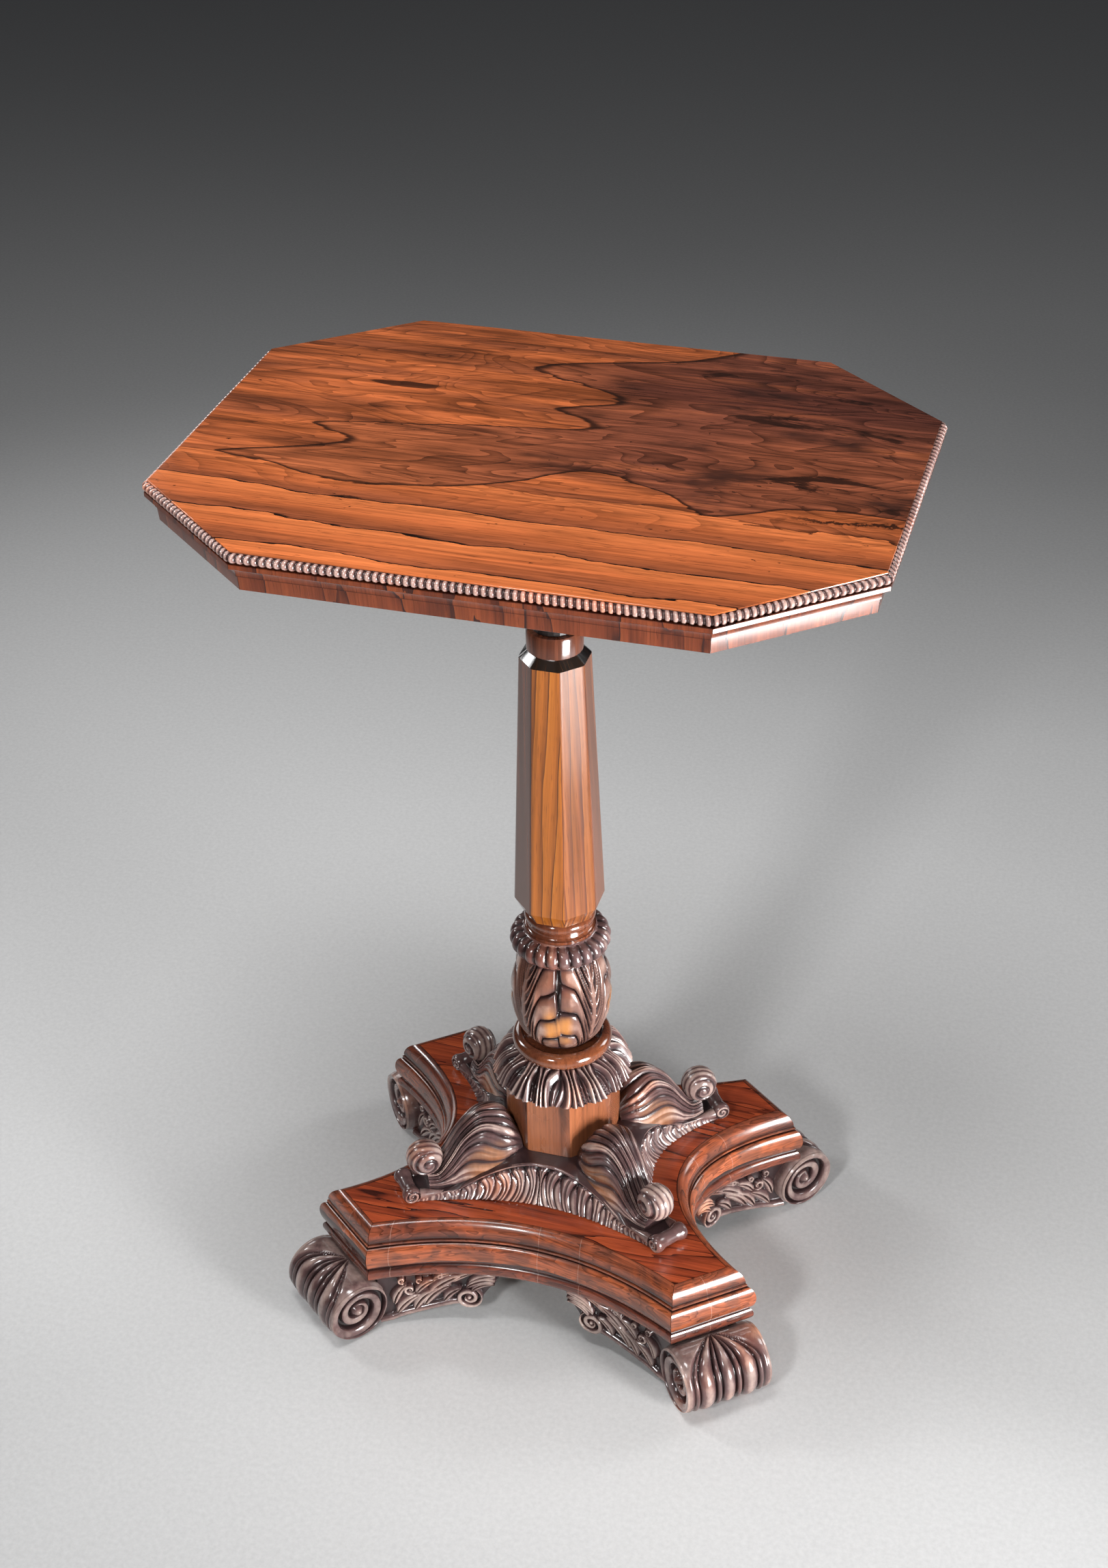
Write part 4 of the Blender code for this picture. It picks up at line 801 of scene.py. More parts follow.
def top_strip(side, section, steps):
    """Grid of a mitred strip on one side; the section holds (inset, height) pairs, for each step or once."""
    unit_inset = 0.01
    outer = top_corners(0.0)
    travel = (top_corners(unit_inset) - outer) / unit_inset
    after = (side + 1) % 8
    section = np.broadcast_to(section, (steps, *section.shape[-2:]))
    inset = section[..., :1]
    unit = (outer[after] - outer[side]) / np.linalg.norm(outer[after] - outer[side])
    start = outer[side] + inset * travel[side] + unit * GAP / 2
    end = outer[after] + inset * travel[after] - unit * GAP / 2
    flat = start + (end - start) * np.linspace(0, 1, steps)[:, None, None]
    return lifted(flat, section[..., 1])


def bead_swell(position):
    """Swell of a bead strip along its length, one barrel and one thin reel for each whole step."""
    place = fraction(position) - 0.5
    barrel = BEAD_WAIST + (1 - BEAD_WAIST) * dome(2 * place / BEAD_SHARE) ** 0.8
    reel_place = (np.abs(place) - 0.5) / (0.5 - BEAD_SHARE / 2)
    return np.maximum(barrel, BEAD_WAIST + (REEL_WAIST - BEAD_WAIST) * dome(reel_place))


def edge_profile():
    """Edge moulding's section from its inner lower corner: fillet, cove, quirk and frieze, with relief values
    that lay painted shade into the quirk and cove.
    """
    edge_top = BEAD_BOTTOM - GAP
    cove_in = EDGE_SETBACK + EDGE_COVE_DEPTH
    cove_top = edge_top - EDGE_FILLET
    cove_low = cove_top - EDGE_COVE_HEIGHT
    frieze_in = cove_in + EDGE_QUIRK
    frieze_top = cove_low - EDGE_QUIRK
    foot_in = frieze_in + EDGE_TAPER
    cove = arc((EDGE_SETBACK, cove_low), EDGE_COVE_DEPTH, EDGE_COVE_HEIGHT, 90, 0, EDGE_COVE_STEPS)[1:]
    rows = np.array([(EDGE_WIDTH, TOP_BOTTOM, 0), (EDGE_WIDTH, edge_top, 0),
                     (EDGE_SETBACK + EDGE_CHAMFER, edge_top, 0.2), (EDGE_SETBACK, edge_top - EDGE_ROUND, 1),
                     (EDGE_SETBACK, cove_top + EDGE_CHAMFER, 1), (EDGE_SETBACK + EDGE_CHAMFER, cove_top, 0.5),
                     *np.column_stack((cove, np.linspace(0.40, 0.85, EDGE_COVE_STEPS))),
                     (cove_in, frieze_top, 0.1), (frieze_in, frieze_top, 0),
                     (frieze_in, frieze_top - EDGE_ROUND, 0.9), (foot_in, TOP_BOTTOM + EDGE_ROUND, 1),
                     (foot_in + EDGE_ROUND, TOP_BOTTOM, 0.8)])
    return rows[:, :2], rows[:, 2]


def build_sheet():
    """Figured sheet with a softened edge that lies over the bead strips."""
    low = TOP_SURFACE - SHEET_HEIGHT
    edge = arc((SHEET_ROUND, TOP_SURFACE - SHEET_ROUND), SHEET_ROUND, SHEET_ROUND, 180, 90, 4)
    rings = [(SHEET_BAND, low), (0.0, low), *edge, (SHEET_BAND, TOP_SURFACE)]
    grid = np.array([lifted(top_corners(SHEET_INSET + inset), z) for inset, z in rings])
    build_piece("figured_sheet", "top_rosewood", "top_veneer", 40, grid, caps=True)


def build_top():
    """Bead strips and edge mouldings round the top."""
    crown = TOP_SURFACE - SHEET_HEIGHT - GAP
    half = (crown - BEAD_BOTTOM) / 2
    round_part = arc((BEAD_AXIS, BEAD_BOTTOM + half), BEAD_AXIS, half, 60, 265, 14)
    middle = np.array((BEAD_SWELL_AXIS, BEAD_BOTTOM + half))
    back = np.array([(BEAD_WIDTH, BEAD_BOTTOM), (BEAD_WIDTH, crown)])
    edge, edge_relief = edge_profile()
    girth = lengths(edge)
    outer = top_corners(0.0)
    for side, name in enumerate(EDGE_NAMES):
        length = np.linalg.norm(outer[(side + 1) % 8] - outer[side])
        beads = round(length / BEAD_PITCH)
        steps = beads * BEAD_SAMPLES + 1
        swell = bead_swell(np.linspace(0, beads, steps))[:, None, None]
        rounds = np.minimum(middle + (round_part - middle) * swell, (BEAD_WIDTH, crown))
        section = np.concatenate((np.broadcast_to(back, (steps, 2, 2)), rounds), axis=1)
        # Painted shade in the reels between beads and a painted highlight on each barrel, through the stored
        # relief.
        relief = (swell[..., 0] - BEAD_WAIST) / (1 - BEAD_WAIST)
        strip = top_strip(side, section, steps)
        build_piece("beads_" + name, "bead_rosewood", "bead_moulding_" + name, 60, strip, caps=True,
                    relief=relief)
        along = np.linspace(0, length, EDGE_ROWS)[:, None]
        grain = np.stack(np.broadcast_arrays(girth, along, 0.3 * side), axis=-1)
        strip = top_strip(side, edge, EDGE_ROWS)
        build_piece("edge_" + name, "edge_rosewood", "edge_moulding_" + name, 30, strip, caps=True,
                    grain=grain, relief=edge_relief)


# Pillar

def octagon(radius):
    """Octagon with blunt arrises, facet by facet, with the place across each facet."""
    flat = radius * math.cos(PI / 8)
    half = radius * math.sin(PI / 8)
    places = np.linspace(-1, 1, FACET_POINTS)
    across = np.sign(places) * np.abs(places) ** 0.35 * half
    drop = np.clip(np.abs(across) - (half - ARRIS_ROUND), 0, None)
    reach = flat - 0.4 * drop ** 2 / ARRIS_ROUND
    ring = []
    for facet in range(8):
        normal = np.array((math.cos(facet * PI / 4), math.sin(facet * PI / 4)))
        ring.append(reach[:, None] * normal + across[:, None] * (-normal[1], normal[0]))
    return np.vstack(ring), np.tile(across, 8)


def facet_grain(z, across, spacing):
    """Grain of an octagon's ring: x runs upward, and every facet has a place of its own."""
    facet = np.repeat(np.arange(8), FACET_POINTS) * spacing
    return np.column_stack((np.full(len(across), z), across, facet))


def build_shaft():
    """Octagonal shaft with blunt arrises, round neck, and a shoulder painted near-black as painted shade
    under the top.
    """
    chamfer_top = SHAFT_BOTTOM + SHAFT_CHAMFER_HEIGHT
    shoulder_low = SHOULDER_TOP - SHOULDER_HEIGHT
    # Stations: radius, height, octagonal (1) or round (0), and 1 where the shoulder gets the near-black
    # painted shade.
    stations = np.array([(CORE_RADIUS, SHAFT_BOTTOM, 0, 0), (SHAFT_CHAMFER_RADIUS, SHAFT_BOTTOM, 1, 0),
                         (SHAFT_CHAMFER_RADIUS, SHAFT_BOTTOM, 1, 0), (SHAFT_BOTTOM_RADIUS, chamfer_top, 1, 0),
                         (SHAFT_BOTTOM_RADIUS, chamfer_top, 1, 0), (SHAFT_TOP_RADIUS, shoulder_low, 1, 0),
                         (SHAFT_TOP_RADIUS, shoulder_low, 1, 1), (NECK_THROAT_RADIUS, SHOULDER_TOP, 0, 1),
                         (NECK_THROAT_RADIUS, SHOULDER_TOP, 0, 0),
                         (NECK_RADIUS, SHOULDER_TOP + NECK_ROUND / 2, 0, 0),
                         (NECK_RADIUS, NECK_TOP - NECK_ROUND, 0, 0), (NECK_LIP_RADIUS, NECK_TOP, 0, 0),
                         (CORE_RADIUS, NECK_TOP, 0, 0)])
    tone = np.repeat((0.20, 0.05, 0.35, 0.10, 0.30, 0.05, 1.00, 0.40), FACET_POINTS)
    slant = np.repeat((0.05, 0.0, 0.05, -0.06, 0.06, 0.04, -0.035, 0.02), FACET_POINTS)
    grid = []
    grain = []
    for radius, z, angular, _ in stations:
        ring, across = octagon(radius)
        grid.append(lifted(ring if angular else on_circle(ring, radius), z))
        grain.append(facet_grain(z, across + slant * z, 0.71))
    build_piece("octagonal_shaft", "column_rosewood", "column_shaft", 24, np.array(grid), caps=True,
                grain=np.array(grain), leaf=tone * stations[:, 2:3], black=stations[:, 3:])


def build_turned():
    """Smooth ring under the shaft and disc above the skirt."""
    height = RING_HIGH - RING_LOW
    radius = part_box("ring_moulding")[1].x
    torus = height * 0.30
    fillet = height * 0.14
    ring = np.vstack(([(CORE_RADIUS, RING_LOW), (radius, RING_LOW), (radius, RING_LOW + fillet)],
                      arc((radius, RING_LOW + 2.4 * fillet), RING_HOLLOW, 1.4 * fillet, 270, 180, 6),
                      arc((radius - torus, RING_HIGH - torus), torus, torus, -70, 90, 18),
                      [(CORE_RADIUS, RING_HIGH)]))
    half = (DISC_HIGH - DISC_LOW) / 2
    flat_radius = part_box("disc_ring")[1].x - half
    disc = np.vstack(([(CORE_RADIUS, DISC_LOW), (flat_radius, DISC_LOW)],
                      arc((flat_radius, DISC_LOW + half), half, half, -90, 90, 22),
                      arc((flat_radius - DISC_DISH * 2, DISC_HIGH), DISC_DISH * 2, DISC_DISH, 0, -90, 6),
                      [(CORE_RADIUS, DISC_HIGH - DISC_DISH)]))
    for name, node, profile in (("turned_ring", "ring_moulding", ring), ("turned_disc", "disc_ring", disc)):
        build_piece(name, "turned_rosewood", node, 30, lathe(profile), wrap_rows=True)


def build_plinth():
    """Octagonal plinth."""
    ring, across = octagon(PLINTH_RADIUS)
    inner = on_circle(ring, CORE_RADIUS)
    levels = [(inner, PLINTH_LOW), (ring, PLINTH_LOW), (ring, PLINTH_HIGH), (inner, PLINTH_HIGH)]
    grid = np.array([lifted(flat, z) for flat, z in levels])
    grain = np.array([facet_grain(z, across, 0.43) for _, z in levels])
    build_piece("octagonal_plinth", "plinth_rosewood", "plinth_block", 24, grid, wrap_rows=True, grain=grain)


def build_collar():
    """Collar of round gadroons."""
    angle = full_turn(GADROONS * GADROON_SAMPLES)
    height = COLLAR_HIGH - COLLAR_LOW
    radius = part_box("gadroon_collar")[1].x
    curve = smooth_curve([(COLLAR_FOOT_RADIUS, COLLAR_LOW), (radius * 0.965, COLLAR_LOW + height * 0.26),
                          (radius, COLLAR_LOW + height * 0.55), (radius * 0.91, COLLAR_LOW + height * 0.86),
                          (COLLAR_NECK_RADIUS, COLLAR_HIGH - COLLAR_LIP),
                          (COLLAR_TOP_RADIUS, COLLAR_HIGH)], 8)
    t = np.linspace(0, 1, len(curve))[:, None]
    fade = smooth(0.0, 0.12, t) * smooth(0.86, 0.76, t)
    lobe = reeds(GADROONS * angle / (2 * PI) + 0.25 * t)
    relief = 1 - fade * (1 - lobe)
    grid = polar(curve[:, :1] - GADROON_DEPTH * (1 - relief), angle, curve[:, 1:])
    build_piece("gadroons", "carved_rosewood", "gadroon_collar", 70, grid, caps=True,
                relief=relief * 0.8)


def bulb_relief(angle, rise):
    """Leaf carving on the bulb, and its gold: plump lobes beside the gaps, flutes flowing to each midrib."""
    turn = (angle - BULB_TURN) / (PI / 2)
    side = turn - np.round(turn)
    away = 2 * np.abs(side)
    uneven = 0.05 * np.sin(9 * turn + 5 * rise)
    stagger = BULB_STAGGER * np.sign(side) * smooth(0.0, 0.2, away)
    sweep = rise + 0.50 * smooth(0.55, 0.0, away) + 0.12 * (1 - away) + 0.3 * uneven + stagger
    place = fraction(BULB_LOBES * sweep + 0.10)
    crest = 2 * place - 1
    lobe = dome(np.where(crest > 0.25, 1.06 * crest, crest)) ** 0.55
    tip = 0.95 + 0.04 * dome(crest) + uneven
    plump = smooth(tip + 0.04, tip - 0.06, away) * (0.74 + 0.26 * smooth(tip, tip - 0.30, away))
    flutes = 0.75 - 0.25 * np.cos(4 * PI * place)
    flow = smooth(0.40, 0.24, away)
    leaf = plump * lobe * (1 - flow + flow * flutes)
    rib = smooth(0.12, 0.04, away) * smooth(0.02, 0.2, rise)
    bud_away = np.hypot((1 - away) / 0.12, (rise - 0.36) / 0.17)
    row = smooth(0.10, 0.22, rise) * smooth(0.66, 0.46, rise)
    gold = np.maximum(smooth(0.55, 0.80, away) * row, smooth(1.0, 0.8, bud_away))
    return np.maximum(np.maximum(leaf, 0.85 * dome(bud_away)), 0.9 * rib), gold


def build_bulb():
    """Bulb carved with leaves."""
    angle = full_turn(BULB_COLUMNS)
    height = BULB_HIGH - BULB_LOW
    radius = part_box("carved_bulb")[1].x - BULB_INSET
    curve = smooth_curve([(BULB_FOOT_RADIUS, BULB_LOW), (radius * 0.87, BULB_LOW + height * 0.15),
                          (radius, BULB_LOW + height * 0.45), (radius * 0.94, BULB_LOW + height * 0.76),
                          (BULB_NECK_RADIUS, BULB_HIGH)], 44)
    rise = ((curve[:, 1] - BULB_LOW) / height)[:, None]
    relief, gold = bulb_relief(angle[None, :], rise)
    fade = smooth(-0.02, 0.07, rise) * smooth(1.02, 0.95, rise)
    grid = polar(curve[:, :1] + BULB_DEPTH * fade * (relief - 0.9), angle, curve[:, 1:])
    # Stored relief: painted shade in the gaps, a painted highlight on the lobes, and darker towards both ends
    # where the bulb meets the disc and collar.
    build_piece("leaf_bulb", "carved_rosewood", "carved_bulb", 60, grid, caps=True,
                relief=relief * (0.25 + 0.63 * fade), gold=0.12 + 0.80 * gold)


def build_skirt():
    """Ruff of ribbed leaves flaring over the plinth."""
    columns = SKIRT_LEAVES * SKIRT_RIBS * SKIRT_RIB_SAMPLES
    angle = full_turn(columns)[None, :]
    low = SKIRT_TIP + SKIRT_DROOP
    height = SKIRT_HIGH - low
    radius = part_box("leaf_skirt")[1].x - SKIRT_INSET
    curve = smooth_curve([(SKIRT_NECK_RADIUS, SKIRT_HIGH), (SKIRT_SHOULDER_RADIUS, low + height * 0.84),
                          (SKIRT_MIDDLE_RADIUS, low + height * 0.50), (radius, low)], 34)
    t = np.linspace(0, 1, len(curve))[:, None]
    turn = angle / (2 * PI) * SKIRT_LEAVES
    turn = turn + 0.10 * np.sin(angle * 3 + 1.0) + 0.12 * np.sin(2.6 * t + 5 * np.sin(2 * angle))
    side = turn - np.round(turn)
    bend = 0.42 * np.sin(PI * t) * np.sin(2 * PI * side)
    fan = side * SKIRT_RIBS * (0.62 + 0.38 * t) + bend
    rib = reeds(fan + 0.5)
    strong = 0.72 + 0.28 * np.cos(PI * fan) ** 2
    overlap = smooth(0.50, 0.41, np.abs(side)) + 0.4 * smooth(0.5, 1.0, t)
    relief = np.clip(rib * strong * np.clip(overlap, 0, 1), 0, 1)
    curl = dome(2 * side)
    lift = SKIRT_DEPTH * (relief - 0.8) + SKIRT_CURL * curl * smooth(0.25, 0.8, t)
    hem = (SKIRT_DROOP - SKIRT_MARGIN) * smooth(0.50, 1.0, t) * (0.22 * rib + 0.78 * curl)
    outer = polar(curve[:, :1] + lift * smooth(0.0, 0.12, t), angle,
                  curve[:, 1:] - hem + 0.6 * lift * smooth(0, 0.2, t))
    hollow = low + SKIRT_HOLLOW
    under = np.array([(radius - SKIRT_THICKNESS, low - SKIRT_MARGIN),
                      (PLINTH_RADIUS + SKIRT_CLEARANCE, hollow),
                      (CORE_RADIUS, hollow), (CORE_RADIUS, SKIRT_HIGH)])
    grid = np.concatenate((outer, lathe(under, columns)))
    # Painted shade: the colour darkens towards the neck under the disc, and the underside gets the darkest
    # hollow colour.
    shown = (0.30 + 0.66 * relief) * smooth(-0.1, 0.12, t)
    shade = np.concatenate((shown, np.zeros((len(under), columns))))
    build_piece("leaf_ruff", "carved_rosewood", "leaf_skirt", 70, grid, wrap_rows=True, relief=shade)


# Tier and brackets

def tier_height(radius):
    """Height of the tier's upper face, falling along the arms beyond the flat middle."""
    fall = np.clip((radius - TIER_FLAT_RADIUS) / (TIER_FALL_REACH - TIER_FLAT_RADIUS), 0.0, 1.0)
    return TIER_HIGH - fall * (TIER_HIGH - TIER_LOW - TIER_TIP_HEIGHT)


def tier_side(side, steps):
    """Foot line of one hollow side of the tier, counter-clockwise, with its place from -1 to 1."""
    tip = TIER_TIP_REACH * np.array((math.cos(ARM_ANGLE), math.sin(ARM_ANGLE)))
    across = TIER_TIP_HALF_WIDTH * np.array((math.sin(ARM_ANGLE), math.cos(ARM_ANGLE)))
    t = np.linspace(-1, 1, steps)
    if side in ("front", "back"):
        line = np.column_stack(((tip[0] - across[0]) * t,
                                -TIER_FRONT - (tip[1] + across[1] - TIER_FRONT) * t * t))
    else:
        line = np.column_stack((TIER_SIDE + (tip[0] + across[0] - TIER_SIDE) * t * t,
                                (tip[1] - across[1]) * t))
    return (line if side in ("front", "right") else -line), t


def arm_frame(quarter, reach, across, z):
    """Points at a distance along an arm, across it and up."""
    reach, across, z = np.broadcast_arrays(reach, across, z)
    x = reach * math.cos(ARM_ANGLE) - across * math.sin(ARM_ANGLE)
    y = reach * math.sin(ARM_ANGLE) + across * math.cos(ARM_ANGLE)
    return np.stack((quarter[0] * x, quarter[1] * y, z), axis=-1)


def arm_roll(quarter, reach, across, z, radius, turn):
    """Points round an axis that lies across an arm."""
    return arm_frame(quarter, reach + radius * np.cos(turn), across, z + radius * np.sin(turn))


def spiral_relief(radius, angle, pitch):
    """Coiled ridge on a scroll's end: 1 on the ridge, 0 in the groove; radius is from 0 to 1."""
    turns = (radius - 0.68) / pitch - angle / (2 * PI)
    away = np.abs(turns - np.round(turns))
    ridge = smooth(0.08, 0.26, away) * (0.80 + 0.20 * np.sin(PI * away))
    return np.maximum(ridge * smooth(0.16, 0.26, radius), dome(radius / 0.24))


def apron_relief(distance, rise):
    """Upright strokes along an apron: long ones that widen upward, short ones between them."""
    stroke = distance / APRON_PITCH
    from_long = np.abs(stroke - 2 * np.round(stroke / 2))
    long_width = 0.58 + 0.38 * smooth(0.35, 0.90, rise)
    short_width = 0.04 + 0.50 * smooth(0.82, 0.45, rise)
    long_stroke = dome(from_long / long_width) * (1 - 0.30 * smooth(0.20, 0.05, from_long))
    short_stroke = 0.9 * dome((1 - from_long) / short_width)
    crown = smooth(0.0, 0.09, 0.98 - 0.10 * from_long ** 2 - rise)
    return (0.12 + 0.88 * np.maximum(long_stroke, short_stroke)) * crown * smooth(-0.03, 0.06, rise)


def add_apron(shell, side):
    """Strokes of one hollow side and the fine ledge above them; returns the points of its upper rim."""
    rise = np.linspace(0, 1, APRON_ROWS)[None, :]
    around = full_turn(LEDGE_SIDES)
    strokes = round(lengths(tier_side(side, 200)[0])[-1] / APRON_PITCH)
    foot, t = tier_side(side, strokes * APRON_SAMPLES + 1)
    ahead = np.gradient(foot, axis=0)
    ahead /= np.linalg.norm(ahead, axis=1)[:, None]
    inward = np.column_stack((-ahead[:, 1], ahead[:, 0]))
    fade = 1 - t ** 4
    tall = tier_height(np.linalg.norm(foot, axis=1) * (1 - TIER_RAKE * 0.3)) - TIER_LOW
    upper = foot + inward * (TIER_RAKE * tall * fade)[:, None]
    top = tier_height(np.linalg.norm(upper, axis=1))
    distance = lengths(foot)
    distance = (distance - distance[-1] / 2)[:, None]
    relief = apron_relief(distance, rise)
    out = APRON_DEPTH * (relief - 0.65) * (np.minimum(1, tall / APRON_FULL_HEIGHT) * (1 - t ** 8))[:, None]
    sag = APRON_SAG * np.sin(PI * rise) * fade[:, None]
    bow = np.tanh(distance / APRON_PITCH) + 0.7 * np.sin(0.45 * distance / APRON_PITCH + 0.8)
    lean = APRON_LEAN * APRON_PITCH * bow * (rise ** 1.8 - rise) * fade[:, None]
    flat = foot[:, None] + (upper - foot)[:, None] * rise[..., None]
    flat = flat + inward[:, None] * (sag - out)[..., None] + ahead[:, None] * lean[..., None]
    z = TIER_LOW + (top - TIER_LOW)[:, None] * rise
    shell.add(lifted(flat, z), wrap_columns=False, relief=relief)
    thick = (LEDGE_RADIUS + LEDGE_SWELL * smooth(0.78, LEDGE_END, np.abs(t)))[:, None]
    middle = upper + inward * LEDGE_RADIUS
    ledge = lifted(middle[:, None] - inward[:, None] * (thick * np.cos(around))[..., None],
                   top[:, None] - LEDGE_RADIUS * 0.6 + thick * np.sin(around))
    shell.add(ledge[np.abs(t) < LEDGE_END], caps=True, relief=0.85)
    return lifted(upper, top)


def add_tip_roll(shell, quarter):
    """Small roll across an arm's tip, thicker at its coiled ends."""
    turn = full_turn(TIP_ROLL_SIDES)[None, :]
    across = np.linspace(-1, 1, TIP_ROLL_ROWS)[:, None]
    swell = TIP_ROLL_RADIUS * (0.80 + 0.20 * smooth(0.30, 0.80, np.abs(across))) * dome(0.6 * across ** 6)
    centre = TIER_LOW + TIP_ROLL_RADIUS
    shell.add(arm_roll(quarter, TIP_ROLL_REACH, across * TIP_ROLL_HALF_LENGTH, centre, swell, turn),
              relief=0.75)
    scale = np.linspace(1, 0.02, TIP_COIL_RINGS)[:, None]
    radius = TIP_ROLL_RADIUS * 0.8 * scale
    for end in (-1, 1):
        coil = spiral_relief(scale, turn * end, 0.60)
        push = TIP_ROLL_HALF_LENGTH + TIP_COIL_DEPTH * (coil - 0.9) * smooth(1.0, 0.9, scale)
        shell.add(arm_roll(quarter, TIP_ROLL_REACH, end * push, centre, radius, turn),
                  relief=0.3 + 0.6 * coil)


def build_tier():
    """Leaf carved apron with a fine ledge above it and a small double scroll at every arm tip."""
    shell = Shell()
    rim = np.vstack([add_apron(shell, side) for side in SIDES])
    radius = np.linalg.norm(rim[:, :2], axis=1)
    rings = []
    for share in np.linspace(0, 1, TIER_RINGS):
        scale = 1 - share * (1 - CORE_RADIUS / radius)
        rings.append(lifted(rim[:, :2] * scale[:, None], tier_height(radius * scale)))
    # Painted shade: the flat top behind the aprons gets a low relief value so that it colours dark.
    shell.add(np.array(rings), relief=0.45)
    for quarter in QUARTERS.values():
        add_tip_roll(shell, quarter)
    shell.build("leaf_apron", "carved_rosewood", "leaf_tier", 60)


def add_bracket_leaf(shell, quarter):
    """Arched leaf from the plinth down to its neck, ribbed along its length."""
    start = PLINTH_RADIUS * math.cos(PI / 8) - BRACKET_LAP
    top = TIER_HIGH + BRACKET_TOP
    neck = TIER_LOW + TIER_TIP_HEIGHT + BRACKET_NECK
    fall = top - neck
    t = np.linspace(0, 1, BRACKET_ROWS)[:, None]
    ridge = read_curve([(0.0, top - BRACKET_RIM_DROP), (0.10, top - 0.30 * BRACKET_RIM_DROP), (0.22, top),
                        (0.40, top), (0.60, top - 0.28 * fall), (0.75, top - 0.68 * fall),
                        (0.88, neck), (1.0, neck)], 16, t)
    width = read_curve([(0.0, BRACKET_RIM_HALF_WIDTH), (0.22, BRACKET_HALF_WIDTH),
                        (0.62, (BRACKET_HALF_WIDTH + BRACKET_END_HALF_WIDTH) / 2),
                        (1.0, BRACKET_END_HALF_WIDTH)], 16, t)
    angle = np.linspace(0, PI, BRACKET_COLUMNS)[None, :]
    place = angle / PI
    rise = np.sin(angle)
    reach = start + (BALL_REACH - start) * t
    fan = (place - 0.5) * (0.80 + 0.32 * t) + 0.045 * np.sin(2.2 * PI * t + 1.0) * np.sin(2 * PI * place)
    fan = BRACKET_RIBS * (fan + 0.5 + 0.016 * np.sin(14 * place + 3 * t))
    rib = reeds(fan)
    strong = 0.80 + 0.20 * np.sin(2.4 * np.floor(fan) + 0.7)
    thread = 1 - 0.30 * smooth(0.25, 0.05, np.abs(2 * fraction(fan) - 1)) * smooth(0.15, 0.45, t)
    scallop = smooth(0.0, 0.12, t - 0.06 * (1 - rib))
    relief = rib * strong * thread * (0.30 + 0.70 * scallop)
    push = BRACKET_DEPTH * (relief - 0.7) * (0.35 + 0.65 * rise) * smooth(1.08, 0.85, t)
    across = width * np.cos(angle)
    floor = tier_height(np.hypot(reach, across)) - BRACKET_SINK
    z = floor + (ridge - floor) * rise ** 0.8 + push * rise
    gold = 0.35 * smooth(0.55, 0.35, rise) * smooth(0.1, 0.3, t) * smooth(0.7, 0.5, t)
    shell.add(arm_frame(quarter, reach, across + push * np.cos(angle), z), wrap_columns=False, caps=True,
              relief=0.12 + 0.90 * relief, gold=gold)


def add_ball_scroll(shell, quarter):
    """Barrel-shaped leaf curl with coiled sides at a bracket's lower end."""
    turn = full_turn(BALL_SIDES)[None, :]
    angle = np.linspace(0.02, PI - 0.02, BALL_ROWS)[:, None]
    side = np.cos(angle)
    barrel = np.sin(angle) ** 0.72
    rib = reeds(side * 2.6 + 0.5 + 0.25 * np.sin(2 * turn + 0.6)) ** 0.6
    coil = spiral_relief(barrel, turn, 0.50)
    flank = smooth(0.86, 0.66, barrel)
    relief = (1 - flank) * (0.40 + 0.55 * rib) + flank * (0.30 + 0.60 * coil)
    radius = BALL_RADIUS * barrel + BALL_RIB_DEPTH * (relief - 0.85) * (1 - flank)
    out = BALL_HALF_WIDTH * side * (1 - 0.16 * flank * (1 - coil))
    shell.add(arm_roll(quarter, BALL_REACH, out, TIER_LOW + BALL_LIFT, radius, turn), caps=True,
              relief=relief, gold=0.0)


def build_brackets():
    """Ribbed leaf brackets, each curling into a ball scroll."""
    for corner, quarter in QUARTERS.items():
        shell = Shell()
        add_bracket_leaf(shell, quarter)
        add_ball_scroll(shell, quarter)
        shell.build("leaf_bracket_" + corner, "carved_rosewood", "bracket_" + corner, 65)


# Platform

def bay_point(side, position, offset):
    """Points beside the front or right hollow edge of the platform, moved outward by an offset."""
    deep, wide, middle = ARM_END_X, ARM_SIDE_Y, BAY_SIDE
    if side == "front":
        deep, wide, middle = ARM_END_Y, ARM_SIDE_X, BAY_FRONT
    rise = (deep - middle) / wide ** 2
    slope = 2 * rise * position
    length = np.hypot(slope, 1)
    depth = middle + rise * position ** 2 + offset / length
    drift = position - offset * slope / length
    return np.stack((drift, -depth) if side == "front" else (depth, drift), axis=-1)


def bay_limit(side, offset, end_offset):
    """Position where an offset hollow edge meets the offset end of the next arm, found by halving."""
    low = 0.0
    high = 1.6 * (ARM_SIDE_X if side == "front" else ARM_SIDE_Y)
    for _ in range(50):
        middle = (low + high) / 2
        reach = (np.abs(bay_point(side, middle, offset)) - ARM_MIDDLE) @ ARM_OUT
        if reach < end_offset:
            low = middle
        else:
            high = middle
    return low


def bay_line(side, offset, pull=0.0):
    """Offset hollow edge from one arm to the next, counter-clockwise."""
    source = {"back": "front", "left": "right"}.get(side, side)
    limit = bay_limit(source, offset, offset - pull)
    points = bay_point(source, limit * np.linspace(-1, 1, BAY_STEPS + 1), offset)
    return points if source == side else -points


